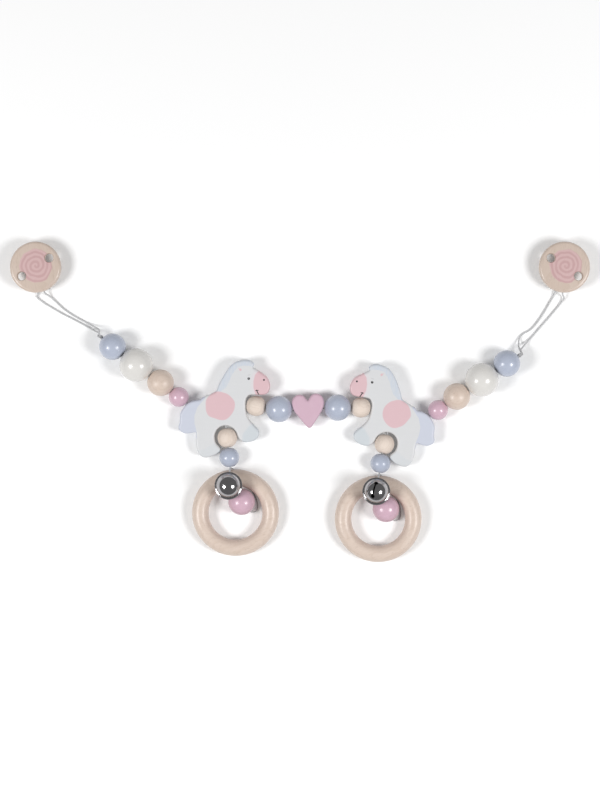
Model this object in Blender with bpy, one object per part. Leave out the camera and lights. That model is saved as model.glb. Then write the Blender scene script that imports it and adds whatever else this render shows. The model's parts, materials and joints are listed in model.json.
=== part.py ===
"""Pram chain toy: wooden beads, two toy horses and a heart on a cord between two clips.

The toy lies flat. X runs along it, Y points from the two rings towards the clips, and the
surface that it lies on is z = 0. Each bead, horse and heart has its own stretch of the main
cord, and the stretches meet in the gaps between the pieces, where the chain bends.
"""

import math

import bmesh
import bpy
from mathutils import Matrix, Vector

# Cord, beads and the gaps between pieces
cord_diameter = 0.0013
bore_diameter = 0.0032
bead_small_diameter = 0.015
bead_medium_diameter = 0.020
bead_large_diameter = 0.025
bead_face_rim = 0.0009
bead_facet_length = 0.0042
piece_gap = 0.0005
cord_end_gap = 0.0003
seat_gap = 0.0003
cutter_overrun = 0.004
knot_diameter = 0.0036
knot_length = 0.0028
cord_point_step = 0.0034

# Heart
heart_place = (0.0062, -0.0070)
heart_turn_deg = 4.0
heart_width = 0.0240
heart_height = 0.0252
heart_thickness = 0.010
heart_edge_round = 0.0014
heart_bore_share = 0.9833
heart_bore_rise = 0.0012

# Horses
horse_length = 0.070
horse_height = 0.074
horse_thickness = 0.010
horse_edge_round = 0.0012
horse_mouth_relief = 0.0004
horse_bore_share = 0.637
horse_hoof_share = 0.527
belly_setback_share = 0.213
belly_depth_share = 0.2446

# Height of the cord in each gap, from the heart outwards
heart_gap_height = 0.0098
chest_bead_gap_height = 0.0089
horse_gap_height = 0.0078
pink_gap_height = 0.0096
natural_gap_height = 0.0123
white_gap_height = 0.0127
arm_end_height = 0.0106

# Grasping rings
ring_outer_diameter = 0.0648
ring_tube_diameter = 0.0123
ring_lift = 0.0017

# Jingle bells
bell_diameter = 0.0184
bell_wall = 0.0008
bell_rim_diameter = 0.0206
bell_rim_thickness = 0.0007
bell_seam_gap = 0.0003
bell_slot_hole_diameter = 0.0030
bell_slot_spacing = 0.0108
bell_slot_width = 0.0012
bell_eye_wire = 0.0011
bell_eye_diameter = 0.0046
bell_eye_sink = 0.0003
pellet_diameter = 0.0052

# Clips
disc_diameter = 0.0380
disc_thickness = 0.0070
disc_edge_round = 0.0020
vent_diameter = 0.0066
vent_radius = 0.0122
plate_width = 0.0148
plate_thickness = 0.0008
plate_height = 0.0060
plate_back_reach = 0.0130
plate_front_reach = 0.0088
plate_slope_length = 0.0022
bail_reach = 0.0174
bail_height = 0.0034
bail_slot_start = 0.0122
bail_slot_length = 0.0032
bail_slot_width = 0.0096
glue_line = 0.0002
pin_setback = 0.0060
pin_height = 0.0025
pin_diameter = 0.0018
pin_running_gap = 0.0002
ear_length = 0.0044
ear_foot_height = 0.0009
lever_width = 0.0120
lever_thickness = 0.0010
lever_reach = 0.0105
lever_knuckle_diameter = 0.0036
pad_thickness = 0.0010
pad_length = 0.0080
pad_width = 0.0112
pad_rib_depth = 0.0003
pad_rib_count = 4

# The cord that dangles from each horse, and what it carries, from the blue bead's centre
dangle_bead_height = 0.0086
dangle_belly_cord_height = 0.0062
dangle_gap_cord_height = 0.0079
dangle_split_reach = 0.0050
ring_near_edge_reach = 0.0091
ring_sideways = 0.0004
bell_reach = 0.0219
bell_sideways = -0.0023
bell_eye_height = 0.0134
bell_lean_deg = 8.0
pink_bead_ring_clearance = 0.0007
pink_bead_turn_deg = 35.0
pink_bead_height = 0.0103
pink_bead_bore_direction = (-0.55, -0.72, 0.42)

# Directions of the pieces in plan, in degrees from +X, outwards from the heart
directions_deg = {
    "left": {
        "blue_inner": 174.0,
        "chest": 170.0,
        "horse": 179.0,
        "pink": 139.0,
        "natural": 144.0,
        "white": 143.5,
        "blue_outer": 141.0,
        "dangle": -83.5,
        "ring_loop": -84.3,
        "clip": -80.0,
    },
    "right": {
        "blue_inner": 2.5,
        "chest": -3.0,
        "horse": -7.5,
        "pink": 38.0,
        "natural": 35.0,
        "white": 33.0,
        "blue_outer": 33.0,
        "dangle": -105.5,
        "ring_loop": -92.0,
        "clip": -100.0,
    },
}
vent_line_deg = 113.5
bell_slot_lean_deg = {"left": 135.0, "right": 13.5}
bell_slot_turn_deg = {"left": -140.0, "right": 77.0}

# Outline of the horse: forward from the chest end of its bore in shares of horse_length,
# and up from the bore in shares of horse_height
horse_outline_shares = [
    (0.083, 0.410), (0.076, 0.378), (0.104, 0.358), (0.159, 0.326), (0.225, 0.278),
    (0.257, 0.205), (0.251, 0.149), (0.221, 0.112), (0.164, 0.101), (0.095, 0.102),
    (0.034, 0.094), (0.004, 0.050), (0.000, 0.000), (0.007, -0.080), (0.041, -0.152),
    (0.094, -0.208), (0.138, -0.252), (0.151, -0.292), (0.134, -0.336), (0.085, -0.368),
    (0.015, -0.381), (-0.041, -0.366), (-0.074, -0.328), (-0.094, -0.280), (-0.128, -0.243),
    (-0.170, -0.222), (-0.215, -0.216), (-0.262, -0.228), (-0.303, -0.262), (-0.325, -0.320),
    (-0.312, -0.390), (-0.268, -0.440), (-0.262, -0.478), (-0.330, -0.520), (-0.404, -0.541),
    (-0.459, -0.533), (-0.500, -0.485), (-0.521, -0.414), (-0.521, -0.338), (-0.527, -0.290),
    (-0.585, -0.299), (-0.648, -0.299), (-0.698, -0.272), (-0.712, -0.236), (-0.698, -0.186),
    (-0.694, -0.105), (-0.660, -0.042), (-0.610, 0.006), (-0.548, 0.030), (-0.486, 0.040),
    (-0.461, 0.062), (-0.409, 0.086), (-0.355, 0.108), (-0.312, 0.135), (-0.287, 0.200),
    (-0.246, 0.276), (-0.203, 0.345), (-0.140, 0.412), (-0.071, 0.440), (-0.006, 0.450),
    (0.052, 0.440),
]
# Right half of the heart, notch to tip, in shares of heart_width and heart_height
heart_outline_shares = [
    (0.000, 0.315), (0.040, 0.352), (0.090, 0.425), (0.165, 0.482), (0.260, 0.500),
    (0.355, 0.478), (0.440, 0.412), (0.488, 0.320), (0.500, 0.220), (0.478, 0.105),
    (0.418, -0.010), (0.335, -0.130), (0.240, -0.258), (0.150, -0.376), (0.080, -0.455),
    (0.032, -0.492), (0.000, -0.500),
]
outline_steps = 2

# The disc's centre, counted in plan from the knot at the end of its arm
disc_offsets = {"left": (-0.04736, 0.05120), "right": (0.03210, 0.06474)}
# Route of each free end loop, counted from that knot in plan, to the clip's bail and back
loop_routes_out = {
    "left": [
        (-0.00056, 0.00470, 0.0080), (-0.00286, 0.00620, 0.0050), (-0.00566, 0.00780, 0.0026),
        (-0.00916, 0.00970, 0.0012), (-0.01236, 0.01140, 0.0008), (-0.01786, 0.01440, 0.0008),
        (-0.02376, 0.01800, 0.0008), (-0.02746, 0.02070, 0.0008), (-0.03076, 0.02370, 0.0008),
        (-0.03466, 0.02740, 0.0010), (-0.03826, 0.03040, 0.0022),
    ],
    "right": [
        (-0.00010, 0.00314, 0.0082), (0.00180, 0.00534, 0.0052), (0.00390, 0.00774, 0.0028),
        (0.00640, 0.01054, 0.0013), (0.00910, 0.01354, 0.0008), (0.01440, 0.01964, 0.0008),
        (0.01860, 0.02444, 0.0008), (0.02230, 0.02874, 0.0008), (0.02610, 0.03314, 0.0008),
        (0.02970, 0.03764, 0.0010), (0.03270, 0.04174, 0.0022),
    ],
}
loop_routes_back = {
    "left": [
        (-0.04696, 0.02900, 0.0010), (-0.04176, 0.02490, 0.0008), (-0.03536, 0.02100, 0.0008),
        (-0.02806, 0.01680, 0.0008), (-0.02256, 0.01400, 0.0008), (-0.01716, 0.01120, 0.0008),
        (-0.01236, 0.00870, 0.0008), (-0.00866, 0.00650, 0.0012), (-0.00536, 0.00460, 0.0026),
        (-0.00246, 0.00320, 0.0050), (-0.00036, 0.00230, 0.0078),
    ],
    "right": [
        (0.02470, 0.04334, 0.0010), (0.02190, 0.03874, 0.0008), (0.01890, 0.03354, 0.0008),
        (0.01440, 0.02644, 0.0008), (0.00990, 0.02064, 0.0008), (0.00650, 0.01774, 0.0008),
        (0.00310, 0.01594, 0.0008), (0.00060, 0.01394, 0.0010), (-0.00090, 0.01094, 0.0018),
        (-0.00130, 0.00774, 0.0036), (-0.00130, 0.00474, 0.0066),
    ],
}
# Route of the cord through the clip's bail: along the clip, across it, and height
bail_route = [
    (0.0200, 0.0030, 0.0045), (0.0172, 0.0022, 0.0054), (0.0147, 0.0010, 0.0052),
    (0.0138, 0.0000, 0.0038), (0.0147, -0.0010, 0.0024), (0.0172, -0.0022, 0.0021),
    (0.0200, -0.0030, 0.0015),
]
# Route of the cord that ties each ring: sideways, down from the blue bead, and height
ring_tie_route_out = [
    (0.0000, 0.0052, 0.0093), (0.0000, 0.0072, 0.0093), (-0.0003, 0.0085, 0.0105),
    (-0.0006, 0.0099, 0.0128), (-0.0010, 0.0123, 0.0145), (-0.0015, 0.0153, 0.0151),
    (-0.0019, 0.0183, 0.0142), (-0.0023, 0.0219, 0.0131), (-0.0016, 0.0243, 0.0132),
]
# The same, counted from the pink bead that it threads
ring_tie_route_round_bead = [
    (-0.0053, -0.0070, 0.0144), (-0.0027, -0.0035, 0.0124), (0.0000, 0.0000, 0.0103),
    (0.0027, 0.0035, 0.0083), (0.0053, 0.0070, 0.0062), (0.0070, 0.0087, 0.0044),
    (0.0091, 0.0086, 0.0026), (0.0108, 0.0067, 0.0014), (0.0113, 0.0037, 0.0009),
    (0.0107, -0.0008, 0.0007), (0.0087, -0.0065, 0.0007),
]
ring_tie_route_back = [
    (0.0115, 0.0218, 0.0007), (0.0080, 0.0168, 0.0007), (0.0048, 0.0123, 0.0008),
    (0.0020, 0.0095, 0.0022), (0.0006, 0.0083, 0.0046), (0.0000, 0.00825, 0.0063),
    (0.0000, 0.0078, 0.0077), (0.0000, 0.0066, 0.0079), (0.0000, 0.0052, 0.00785),
]

# Sizes that follow from the ones above
cord_radius = cord_diameter / 2
bore_radius = bore_diameter / 2
hang_drop = bore_radius - cord_radius - seat_gap
strand_spread = cord_radius + cord_end_gap / 2
bell_radius = bell_diameter / 2
bell_inner_radius = bell_radius - bell_wall
bell_centre_rise = bell_radius + (bell_eye_diameter - bell_eye_wire) / 2 - bell_eye_sink
ring_radius = (ring_outer_diameter - ring_tube_diameter) / 2
ring_reach = ring_near_edge_reach + ring_outer_diameter / 2
heart_bore_length = heart_width * heart_bore_share
horse_bore_length = horse_length * horse_bore_share
horse_hoof_reach = horse_height * horse_hoof_share
belly_bore_setback = horse_length * belly_setback_share
belly_bore_depth = horse_height * belly_depth_share
disc_bottom = plate_height + plate_thickness + glue_line
up = Vector((0, 0, 1))

chain_beads = {
    "blue_inner": (bead_medium_diameter, "blue_lacquer"),
    "chest": (bead_small_diameter, "raw_wood"),
    "pink": (bead_small_diameter, "pink_lacquer"),
    "natural": (bead_medium_diameter, "clear_wood"),
    "white": (bead_large_diameter, "white_lacquer"),
    "blue_outer": (bead_medium_diameter, "blue_lacquer"),
}
chain_order = ["blue_inner", "chest", "horse", "pink", "natural", "white", "blue_outer"]
gap_heights = [
    heart_gap_height,
    chest_bead_gap_height,
    horse_gap_height,
    horse_gap_height,
    pink_gap_height,
    natural_gap_height,
    white_gap_height,
    arm_end_height,
]

finishes = {
    "blue_lacquer": ((0.48, 0.53, 0.69), 0.25, 0.0),
    "pink_lacquer": ((0.70, 0.45, 0.57), 0.25, 0.0),
    "white_lacquer": ((0.68, 0.66, 0.65), 0.25, 0.0),
    "clear_wood": ((0.72, 0.62, 0.52), 0.30, 0.0),
    "raw_wood": ((0.74, 0.65, 0.54), 0.60, 0.0),
    "horse_paint": ((0.70, 0.72, 0.72), 0.50, 0.0),
    "heart_paint": ((0.66, 0.44, 0.53), 0.60, 0.0),
    "polished_steel": ((0.55, 0.55, 0.57), 0.12, 1.0),
    "clip_steel": ((0.60, 0.60, 0.61), 0.28, 1.0),
    "clip_plastic": ((0.82, 0.82, 0.80), 0.45, 0.0),
    "cord_yarn": ((0.60, 0.60, 0.61), 0.85, 0.0),
}


# Places

def direction(degrees):
    return Vector((math.cos(math.radians(degrees)), math.sin(math.radians(degrees)), 0))


def frame_at(origin, x_axis, z_hint):
    """A placing matrix with X along x_axis and Z as near to z_hint as it can be."""
    x = Vector(x_axis).normalized()
    y = Vector(z_hint).cross(x).normalized()
    z = x.cross(y)
    turn = Matrix((x, y, z)).transposed().to_4x4()
    return Matrix.Translation(Vector(origin)) @ turn


def bead_span(diameter):
    """Length of a bead between its flat bore faces."""
    face_radius = bore_radius + bead_face_rim
    return 2 * math.sqrt((diameter / 2) ** 2 - face_radius ** 2)


def chain_gaps(side):
    """Middles of the gaps along one arm, on the cord, from the heart outwards."""
    outward = direction(heart_turn_deg) * (1 if side == "right" else -1)
    point = Vector((*heart_place, 0)) + outward * ((heart_bore_length + piece_gap) / 2)
    point.z = gap_heights[0]
    gaps = [point]
    for name, height in zip(chain_order, gap_heights[1:]):
        span = horse_bore_length if name == "horse" else bead_span(chain_beads[name][0])
        rise = height - gaps[-1].z
        run = math.sqrt((span + piece_gap) ** 2 - rise ** 2)
        point = gaps[-1] + direction(directions_deg[side][name]) * run
        point.z = height
        gaps.append(point)
    return gaps


def horse_place(side):
    """The horse's frame: at the gap in front of its chest, X forward, Y up the horse."""
    gaps = chain_gaps(side)
    forward = (gaps[2] - gaps[3]).normalized()
    bore_height = horse_gap_height - hang_drop
    tilt = math.asin((bore_height - horse_thickness / 2) / horse_hoof_reach)
    across = up.cross(forward) if side == "left" else forward.cross(up)
    upward = across * math.cos(tilt) + up * math.sin(tilt)
    face = forward.cross(upward)
    turn = Matrix((forward, upward, face)).transposed().to_4x4()
    origin = gaps[2] - up * hang_drop
    return Matrix.Translation(origin) @ turn


def belly_gap(side):
    """Middle of the gap below the horse's belly, where the dangling cord swings."""
    place = horse_place(side)
    point = place @ Vector((-belly_bore_setback, -belly_bore_depth, 0))
    point.z = dangle_belly_cord_height
    return point


def blue_centre(side):
    """Centre of the blue bead at the foot of the dangling cord."""
    link = bead_span(bead_small_diameter) + piece_gap
    between = belly_gap(side) + direction(directions_deg[side]["dangle"]) * link
    centre = between + blue_bore_axis(side) * (link / 2)
    centre.z = dangle_bead_height
    return centre


def below_blue(side, sideways, reach, height):
    """A place near the ring: sideways, and down the loop, counted from the blue bead."""
    down = direction(directions_deg[side]["ring_loop"])
    across = up.cross(down)
    point = split_point(side) + down * (reach - dangle_split_reach) + across * sideways
    point.z = height
    return point


def blue_bore_axis(side):
    """The blue bead's bore lies midway between the cord above it and the loop below."""
    angles = directions_deg[side]
    return direction((angles["dangle"] + angles["ring_loop"]) / 2)


def split_point(side):
    """Where the dangling cord divides into two strands, inside the blue bead's bore."""
    return blue_centre(side) + blue_bore_axis(side) * dangle_split_reach


def pink_bead_place():
    """Sideways and down from the blue bead to the pink one, which lies against the ring."""
    hole_radius = ring_radius - ring_tube_diameter / 2
    reach = hole_radius - bead_medium_diameter / 2 - pink_bead_ring_clearance
    turn = math.radians(pink_bead_turn_deg)
    return ring_sideways + reach * math.sin(turn), ring_reach - reach * math.cos(turn)


def loop_pivot(side):
    """The end of the knot, where the free loop to the clip swings."""
    start, end = chain_gaps(side)[-2:]
    return end + (end - start).normalized() * (knot_length + cord_end_gap / 2)


def clip_frame(side):
    """The clip's frame: under the disc's centre, X towards the bail."""
    middle = loop_pivot(side) + Vector((*disc_offsets[side], 0))
    middle.z = 0
    return frame_at(middle, direction(directions_deg[side]["clip"]), up)


def plan_centre():
    """Middle of the box round the discs and the rings, where the part has its origin."""
    discs = [clip_frame(side).translation for side in directions_deg]
    ring_feet = [
        below_blue(side, ring_sideways, ring_reach, 0).y - ring_outer_diameter / 2
        for side in directions_deg
    ]
    across = (discs[0].x + discs[1].x) / 2
    top = max(disc.y for disc in discs) + disc_diameter / 2
    return Matrix.Translation(Vector((-across, -(top + min(ring_feet)) / 2, 0)))


# Making objects

def make_material(name, finish):
    color, roughness, metallic = finishes[finish]
    material = bpy.data.materials.new(name)
    material.use_nodes = True
    shader = material.node_tree.nodes["Principled BSDF"]
    shader.inputs["Base Color"].default_value = (*color, 1.0)
    shader.inputs["Roughness"].default_value = roughness
    shader.inputs["Metallic"].default_value = metallic
    material.diffuse_color = (*color, 1.0)
    return material


def link_object(name, data, place):
    obj = bpy.data.objects.new(name, data)
    bpy.context.scene.collection.objects.link(obj)
    obj.matrix_basis = to_origin @ place
    return obj


def make_node(name, data, finish, place):
    obj = link_object(name, data, place)
    obj.data.materials.append(make_material(name + "_finish", finish))
    return obj


def ride_on(obj, joint):
    """Hang a piece on an empty that stands on its joint's axis."""
    obj.parent = joint
    obj.matrix_basis = joint.matrix_basis.inverted() @ obj.matrix_basis


def boolean(obj, tool, operation):
    tool.hide_render = True
    tool.display_type = "WIRE"
    modifier = obj.modifiers.new(tool.name, "BOOLEAN")
    modifier.operation = operation
    modifier.solver = "EXACT"
    modifier.object = tool


def mesh_from(name, bm, smooth):
    bmesh.ops.recalc_face_normals(bm, faces=bm.faces)
    mesh = bpy.data.meshes.new(name)
    bm.to_mesh(mesh)
    bm.free()
    if smooth:
        mesh.shade_smooth()
        mesh.set_sharp_from_angle(angle=math.radians(40))
    return mesh


def bridge(bm, low, high, closed=True):
    count = len(low)
    for k in range(count if closed else count - 1):
        j = (k + 1) % count
        bm.faces.new((low[k], low[j], high[j], high[k]))


def turned_mesh(name, profile, segments, looped):
    """A shape turned about X. Its profile holds places along X, each with a radius."""
    bm = bmesh.new()
    rings = []
    for along, radius in profile:
        steps = segments if radius else 1
        ring = []
        for k in range(steps):
            turn = 2 * math.pi * k / segments
            place = (along, radius * math.cos(turn), radius * math.sin(turn))
            ring.append(bm.verts.new(place))
        rings.append(ring)
    pairs = list(zip(rings, rings[1:]))
    if looped:
        pairs.append((rings[-1], rings[0]))
    for low, high in pairs:
        if len(low) == 1:
            for k in range(segments):
                bm.faces.new((low[0], high[(k + 1) % segments], high[k]))
        elif len(high) == 1:
            for k in range(segments):
                bm.faces.new((low[k], low[(k + 1) % segments], high[0]))
        else:
            bridge(bm, low, high)
    return mesh_from(name, bm, smooth=True)


def torus_mesh(name, radius, tube, around, across):
    """A round ring about Z, with a round wire or bar of the tube's radius."""
    bm = bmesh.new()
    rings = []
    for k in range(around):
        turn = 2 * math.pi * k / around
        ring = []
        for n in range(across):
            a = 2 * math.pi * n / across
            reach = radius + tube * math.cos(a)
            place = (reach * math.cos(turn), reach * math.sin(turn), tube * math.sin(a))
            ring.append(bm.verts.new(place))
        rings.append(ring)
    for k in range(around):
        bridge(bm, rings[k], rings[(k + 1) % around])
    return mesh_from(name, bm, smooth=True)


def rod_mesh(name, radius, low, high, segments=12):
    profile = [(low, 0), (low, radius), (high, radius), (high, 0)]
    return turned_mesh(name, profile, segments, looped=False)


def box_mesh(name, low, high):
    bm = bmesh.new()
    bmesh.ops.create_cube(bm, size=1)
    middle = (Vector(low) + Vector(high)) / 2
    bmesh.ops.scale(bm, vec=Vector(high) - Vector(low), verts=bm.verts)
    bmesh.ops.translate(bm, vec=middle, verts=bm.verts)
    return mesh_from(name, bm, smooth=False)


def bent_strip_mesh(name, outline, width):
    """A side outline of (x, z) places, as wide as said along Y and centred on it."""
    bm = bmesh.new()
    near = [bm.verts.new((x, -width / 2, z)) for x, z in outline]
    far = [bm.verts.new((x, width / 2, z)) for x, z in outline]
    bridge(bm, near, far)
    bm.faces.new(list(reversed(near)))
    bm.faces.new(far)
    return mesh_from(name, bm, smooth=False)


def curve_point(a, b, c, d, t):
    """A place between b and c on the smooth curve through all four."""
    bend = a * 2 - b * 5 + c * 4 - d
    twist = b * 3 - a - c * 3 + d
    return b + ((c - a) * t + bend * t ** 2 + twist * t ** 3) / 2


def smooth_outline(points):
    """A smooth closed outline through the points."""
    count = len(points)
    found = []
    for k in range(count):
        four = [points[(k + n) % count] for n in (-1, 0, 1, 2)]
        found += [curve_point(*four, s / outline_steps) for s in range(outline_steps)]
    return found


def smooth_route(points):
    """Places at even steps along a smooth open curve through the points."""
    knots = [Vector(p) for p in points]
    knots = [knots[0] * 2 - knots[1]] + knots + [knots[-1] * 2 - knots[-2]]
    steps = 16
    fine = []
    for k in range(1, len(knots) - 2):
        fine += [curve_point(*knots[k - 1:k + 3], s / steps) for s in range(steps)]
    fine.append(knots[-2])
    lengths = [0.0]
    for p, q in zip(fine, fine[1:]):
        lengths.append(lengths[-1] + (q - p).length)
    count = round(lengths[-1] / cord_point_step)
    found = []
    at = 0
    for k in range(count + 1):
        want = lengths[-1] * k / count
        while at < len(fine) - 2 and lengths[at + 1] < want:
            at += 1
        share = (want - lengths[at]) / (lengths[at + 1] - lengths[at])
        found.append(fine[at].lerp(fine[at + 1], min(1.0, share)))
    return found


def board_mesh(name, outline, thickness, edge_round):
    """A board cut to an outline, with its edges eased on both faces."""
    half = thickness / 2
    levels = [(-half, 1), (-half + edge_round, 0), (half - edge_round, 0), (half, 1)]
    count = len(outline)
    inward = []
    for k in range(count):
        along = (outline[(k + 1) % count] - outline[k - 1]).normalized()
        inward.append(Vector((-along.y, along.x)))
    bm = bmesh.new()
    rings = []
    for z, share in levels:
        places = [p + n * (edge_round * share) for p, n in zip(outline, inward)]
        rings.append([bm.verts.new((p.x, p.y, z)) for p in places])
    for low, high in zip(rings, rings[1:]):
        bridge(bm, low, high)
    caps = [bm.faces.new(list(reversed(rings[0]))), bm.faces.new(rings[-1])]
    bm.normal_update()
    bmesh.ops.triangulate(bm, faces=caps)
    return mesh_from(name, bm, smooth=True)


# Cords

def stretch_mesh(name, length, knotted):
    """A round-ended stretch of cord along X, with a knot at its far end if asked."""
    low = cord_end_gap / 2
    high = length - cord_end_gap / 2
    bend = cord_radius * math.sqrt(1 / 2)
    profile = [(low, 0), (low + cord_radius - bend, bend), (low + cord_radius, cord_radius)]
    if knotted:
        knot_radius = knot_diameter / 2
        start = high - knot_length
        profile.append((start, cord_radius))
        for k in range(1, 6):
            turn = math.pi * k / 6
            swell = cord_radius * (1 - k / 6) + (knot_radius - cord_radius) * math.sin(turn)
            profile.append((start + knot_length * (1 - math.cos(turn)) / 2, swell))
    else:
        profile += [(high - cord_radius, cord_radius), (high - cord_radius + bend, bend)]
    profile.append((high, 0))
    return turned_mesh(name, profile, 8, looped=False)


def make_stretch(name, start, end, knotted=False):
    mesh = stretch_mesh(name, (end - start).length, knotted)
    return make_node(name, mesh, "cord_yarn", frame_at(start, end - start, up))


def make_route_cord(name, points, pivot):
    """A tube of cord along a route, with its origin on the pivot that it swings on."""
    curve = bpy.data.curves.new(name, "CURVE")
    curve.dimensions = "3D"
    curve.bevel_depth = cord_radius
    curve.bevel_resolution = 2
    curve.use_fill_caps = True
    spline = curve.splines.new("POLY")
    spline.points.add(len(points) - 1)
    for point, place in zip(spline.points, points):
        point.co = (*(place - pivot), 1)
    return make_node(name, curve, "cord_yarn", Matrix.Translation(pivot))


# Beads, heart and horses

def bead_mesh(name, diameter):
    """A round bead with its bore along X and a flat face round each end of the bore."""
    radius = diameter / 2
    half = bead_span(diameter) / 2
    steps = round(math.pi * radius / bead_facet_length)
    start = math.atan2(bore_radius + bead_face_rim, half)
    profile = [(half, bore_radius)]
    for k in range(steps + 1):
        turn = start + (math.pi - 2 * start) * k / steps
        profile.append((radius * math.cos(turn), radius * math.sin(turn)))
    profile.append((-half, bore_radius))
    return turned_mesh(name, profile, 2 * steps + 2, looped=True)


def make_bead(name, diameter, finish, cord_start, cord_end):
    """A bead that hangs on its stretch of cord, or lies on the table where that is higher."""
    middle = (cord_start + cord_end) / 2
    middle.z = max(diameter / 2, middle.z - hang_drop)
    place = frame_at(middle, cord_end - cord_start, up)
    return make_node(name, bead_mesh(name, diameter), finish, place)


def make_heart():
    half = [(x * heart_width, y * heart_height) for x, y in heart_outline_shares]
    right = half[1:-1]
    left = [(-x, y) for x, y in reversed(right)]
    points = [Vector(p) for p in [half[0]] + left[::-1] + [half[-1]] + right[::-1]]
    outline = smooth_outline(points)
    mesh = board_mesh("heart", outline, heart_thickness, heart_edge_round)
    gap = Vector((*heart_place, gap_heights[0] - hang_drop))
    axis = direction(heart_turn_deg)
    sideways = up.cross(axis)
    place = frame_at(gap - sideways * heart_bore_rise, axis, up)
    heart = make_node("heart", mesh, "heart_paint", place)
    reach = heart_width / 2 + cutter_overrun
    bore = rod_mesh("heart_bore", bore_radius, -reach, reach, segments=16)
    boolean(heart, link_object("heart_bore", bore, frame_at(gap, axis, up)), "DIFFERENCE")
    start = chain_gaps("left")[0]
    end = chain_gaps("right")[0]
    make_stretch("heart_cord", start, end)


def make_horse(side):
    place = horse_place(side)
    gaps = chain_gaps(side)
    points = [
        Vector((x * horse_length - piece_gap / 2 - horse_mouth_relief, y * horse_height))
        for x, y in horse_outline_shares
    ]
    outline = smooth_outline(list(reversed(points)))
    name = side + "_horse"
    mesh = board_mesh(name, outline, horse_thickness, horse_edge_round)
    horse = make_node(name, mesh, "horse_paint", place)
    low = -horse_bore_length - cutter_overrun
    bore = rod_mesh(name + "_bore", bore_radius, low, cutter_overrun, segments=16)
    boolean(horse, link_object(name + "_bore", bore, place), "DIFFERENCE")

    # The belly bore comes down from the main one along the dangling cord
    mouth = belly_gap(side)
    mouth_in_horse = place.inverted() @ mouth
    mouth_in_horse.z = 0
    hang = direction(directions_deg[side]["dangle"])
    lean = place.to_3x3().inverted() @ hang
    lean = Vector((lean.x, lean.y, 0)).normalized()
    join = mouth_in_horse + lean * (mouth_in_horse.y / -lean.y)
    bore_top = place @ join
    bore_frame = frame_at(bore_top, place.to_3x3() @ lean, up)
    depth = (mouth_in_horse - join).length
    mesh = rod_mesh(name + "_belly_bore", bore_radius, 0, depth + cutter_overrun, segments=16)
    boolean(horse, link_object(name + "_belly_bore", mesh, bore_frame), "DIFFERENCE")

    # The cord: one stretch from chest to tail, and a branch down to the belly
    cord_name = side + "_horse_cord"
    cord = make_stretch(cord_name, gaps[2], gaps[3])
    along = (gaps[3] - gaps[2]).normalized()
    root = gaps[2] + along * ((bore_top - gaps[2]).dot(along))
    branch_end = mouth - hang * (cord_end_gap / 2)
    length = (branch_end - root).length
    mesh = rod_mesh(cord_name + "_branch", cord_radius, 0, length, segments=8)
    branch = link_object(cord_name + "_branch", mesh, frame_at(root, branch_end - root, up))
    boolean(cord, branch, "UNION")


def make_arm(side):
    """The beads along one arm, each with its stretch of cord, and the knot at the end."""
    gaps = chain_gaps(side)
    for index, name in enumerate(chain_order):
        if name == "horse":
            make_horse(side)
            continue
        start, end = gaps[index], gaps[index + 1]
        diameter, finish = chain_beads[name]
        bead_name = side + "_" + name + "_bead"
        make_bead(bead_name, diameter, finish, start, end)
        if name == chain_order[-1]:
            end = loop_pivot(side)
        make_stretch(side + "_" + name + "_cord", start, end, knotted=end != gaps[index + 1])


def make_end_loop(side):
    pivot = loop_pivot(side)
    start, end = chain_gaps(side)[-2:]
    along = (end - start).normalized()
    across = up.cross(along).normalized() * strand_spread
    out_start = pivot + along * (2 * cord_end_gap) - across
    back_end = pivot + along * (2 * cord_end_gap) + across
    frame = clip_frame(side)
    bail = [frame @ Vector(p) for p in bail_route]
    foot = Vector((pivot.x, pivot.y, 0))
    routes = [
        [foot + Vector(p) for p in table[side]] for table in (loop_routes_out, loop_routes_back)
    ]
    route = [out_start] + routes[0] + bail + routes[1] + [back_end]
    make_route_cord(side + "_end_loop", smooth_route(route), pivot)


# Dangles

def make_ring(side):
    """A grasping ring, its near side raised on the cord that passes under it."""
    ring_tube = ring_tube_diameter / 2
    name = side + "_ring"
    tilt = math.asin(ring_lift / (2 * ring_radius))
    down = direction(directions_deg[side]["ring_loop"])
    centre = below_blue(side, ring_sideways, ring_reach, ring_tube + ring_lift / 2)
    lowered = down * math.cos(tilt) - up * math.sin(tilt)
    mesh = torus_mesh(name, ring_radius, ring_tube, around=32, across=10)
    make_node(name, mesh, "clear_wood", frame_at(centre, lowered, up))


def bell_slot_cutters(side, name, place):
    """A slit between two round holes, cut through one shell of the bell."""
    aim = Matrix.Rotation(math.radians(bell_slot_turn_deg[side]), 4, "X")
    tip = Matrix.Rotation(math.radians(bell_slot_lean_deg[side]), 4, "Y")
    centre = Matrix.Translation(Vector((bell_centre_rise, 0, 0)))
    slot_frame = place @ centre @ aim @ tip
    reach = bell_radius + cutter_overrun
    half = bell_slot_spacing / 2
    cutters = []
    for label, offset in (("_slot_hole_a", -half), ("_slot_hole_b", half)):
        spread = Matrix.Rotation(offset / bell_radius, 4, "Z")
        mesh = rod_mesh(name + label, bell_slot_hole_diameter / 2, bell_radius / 2, reach)
        cutters.append(link_object(name + label, mesh, slot_frame @ spread))
    low = (bell_radius / 2, -half, -bell_slot_width / 2)
    high = (reach, half, bell_slot_width / 2)
    mesh = box_mesh(name + "_slit", low, high)
    cutters.append(link_object(name + "_slit", mesh, slot_frame))
    return cutters


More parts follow.
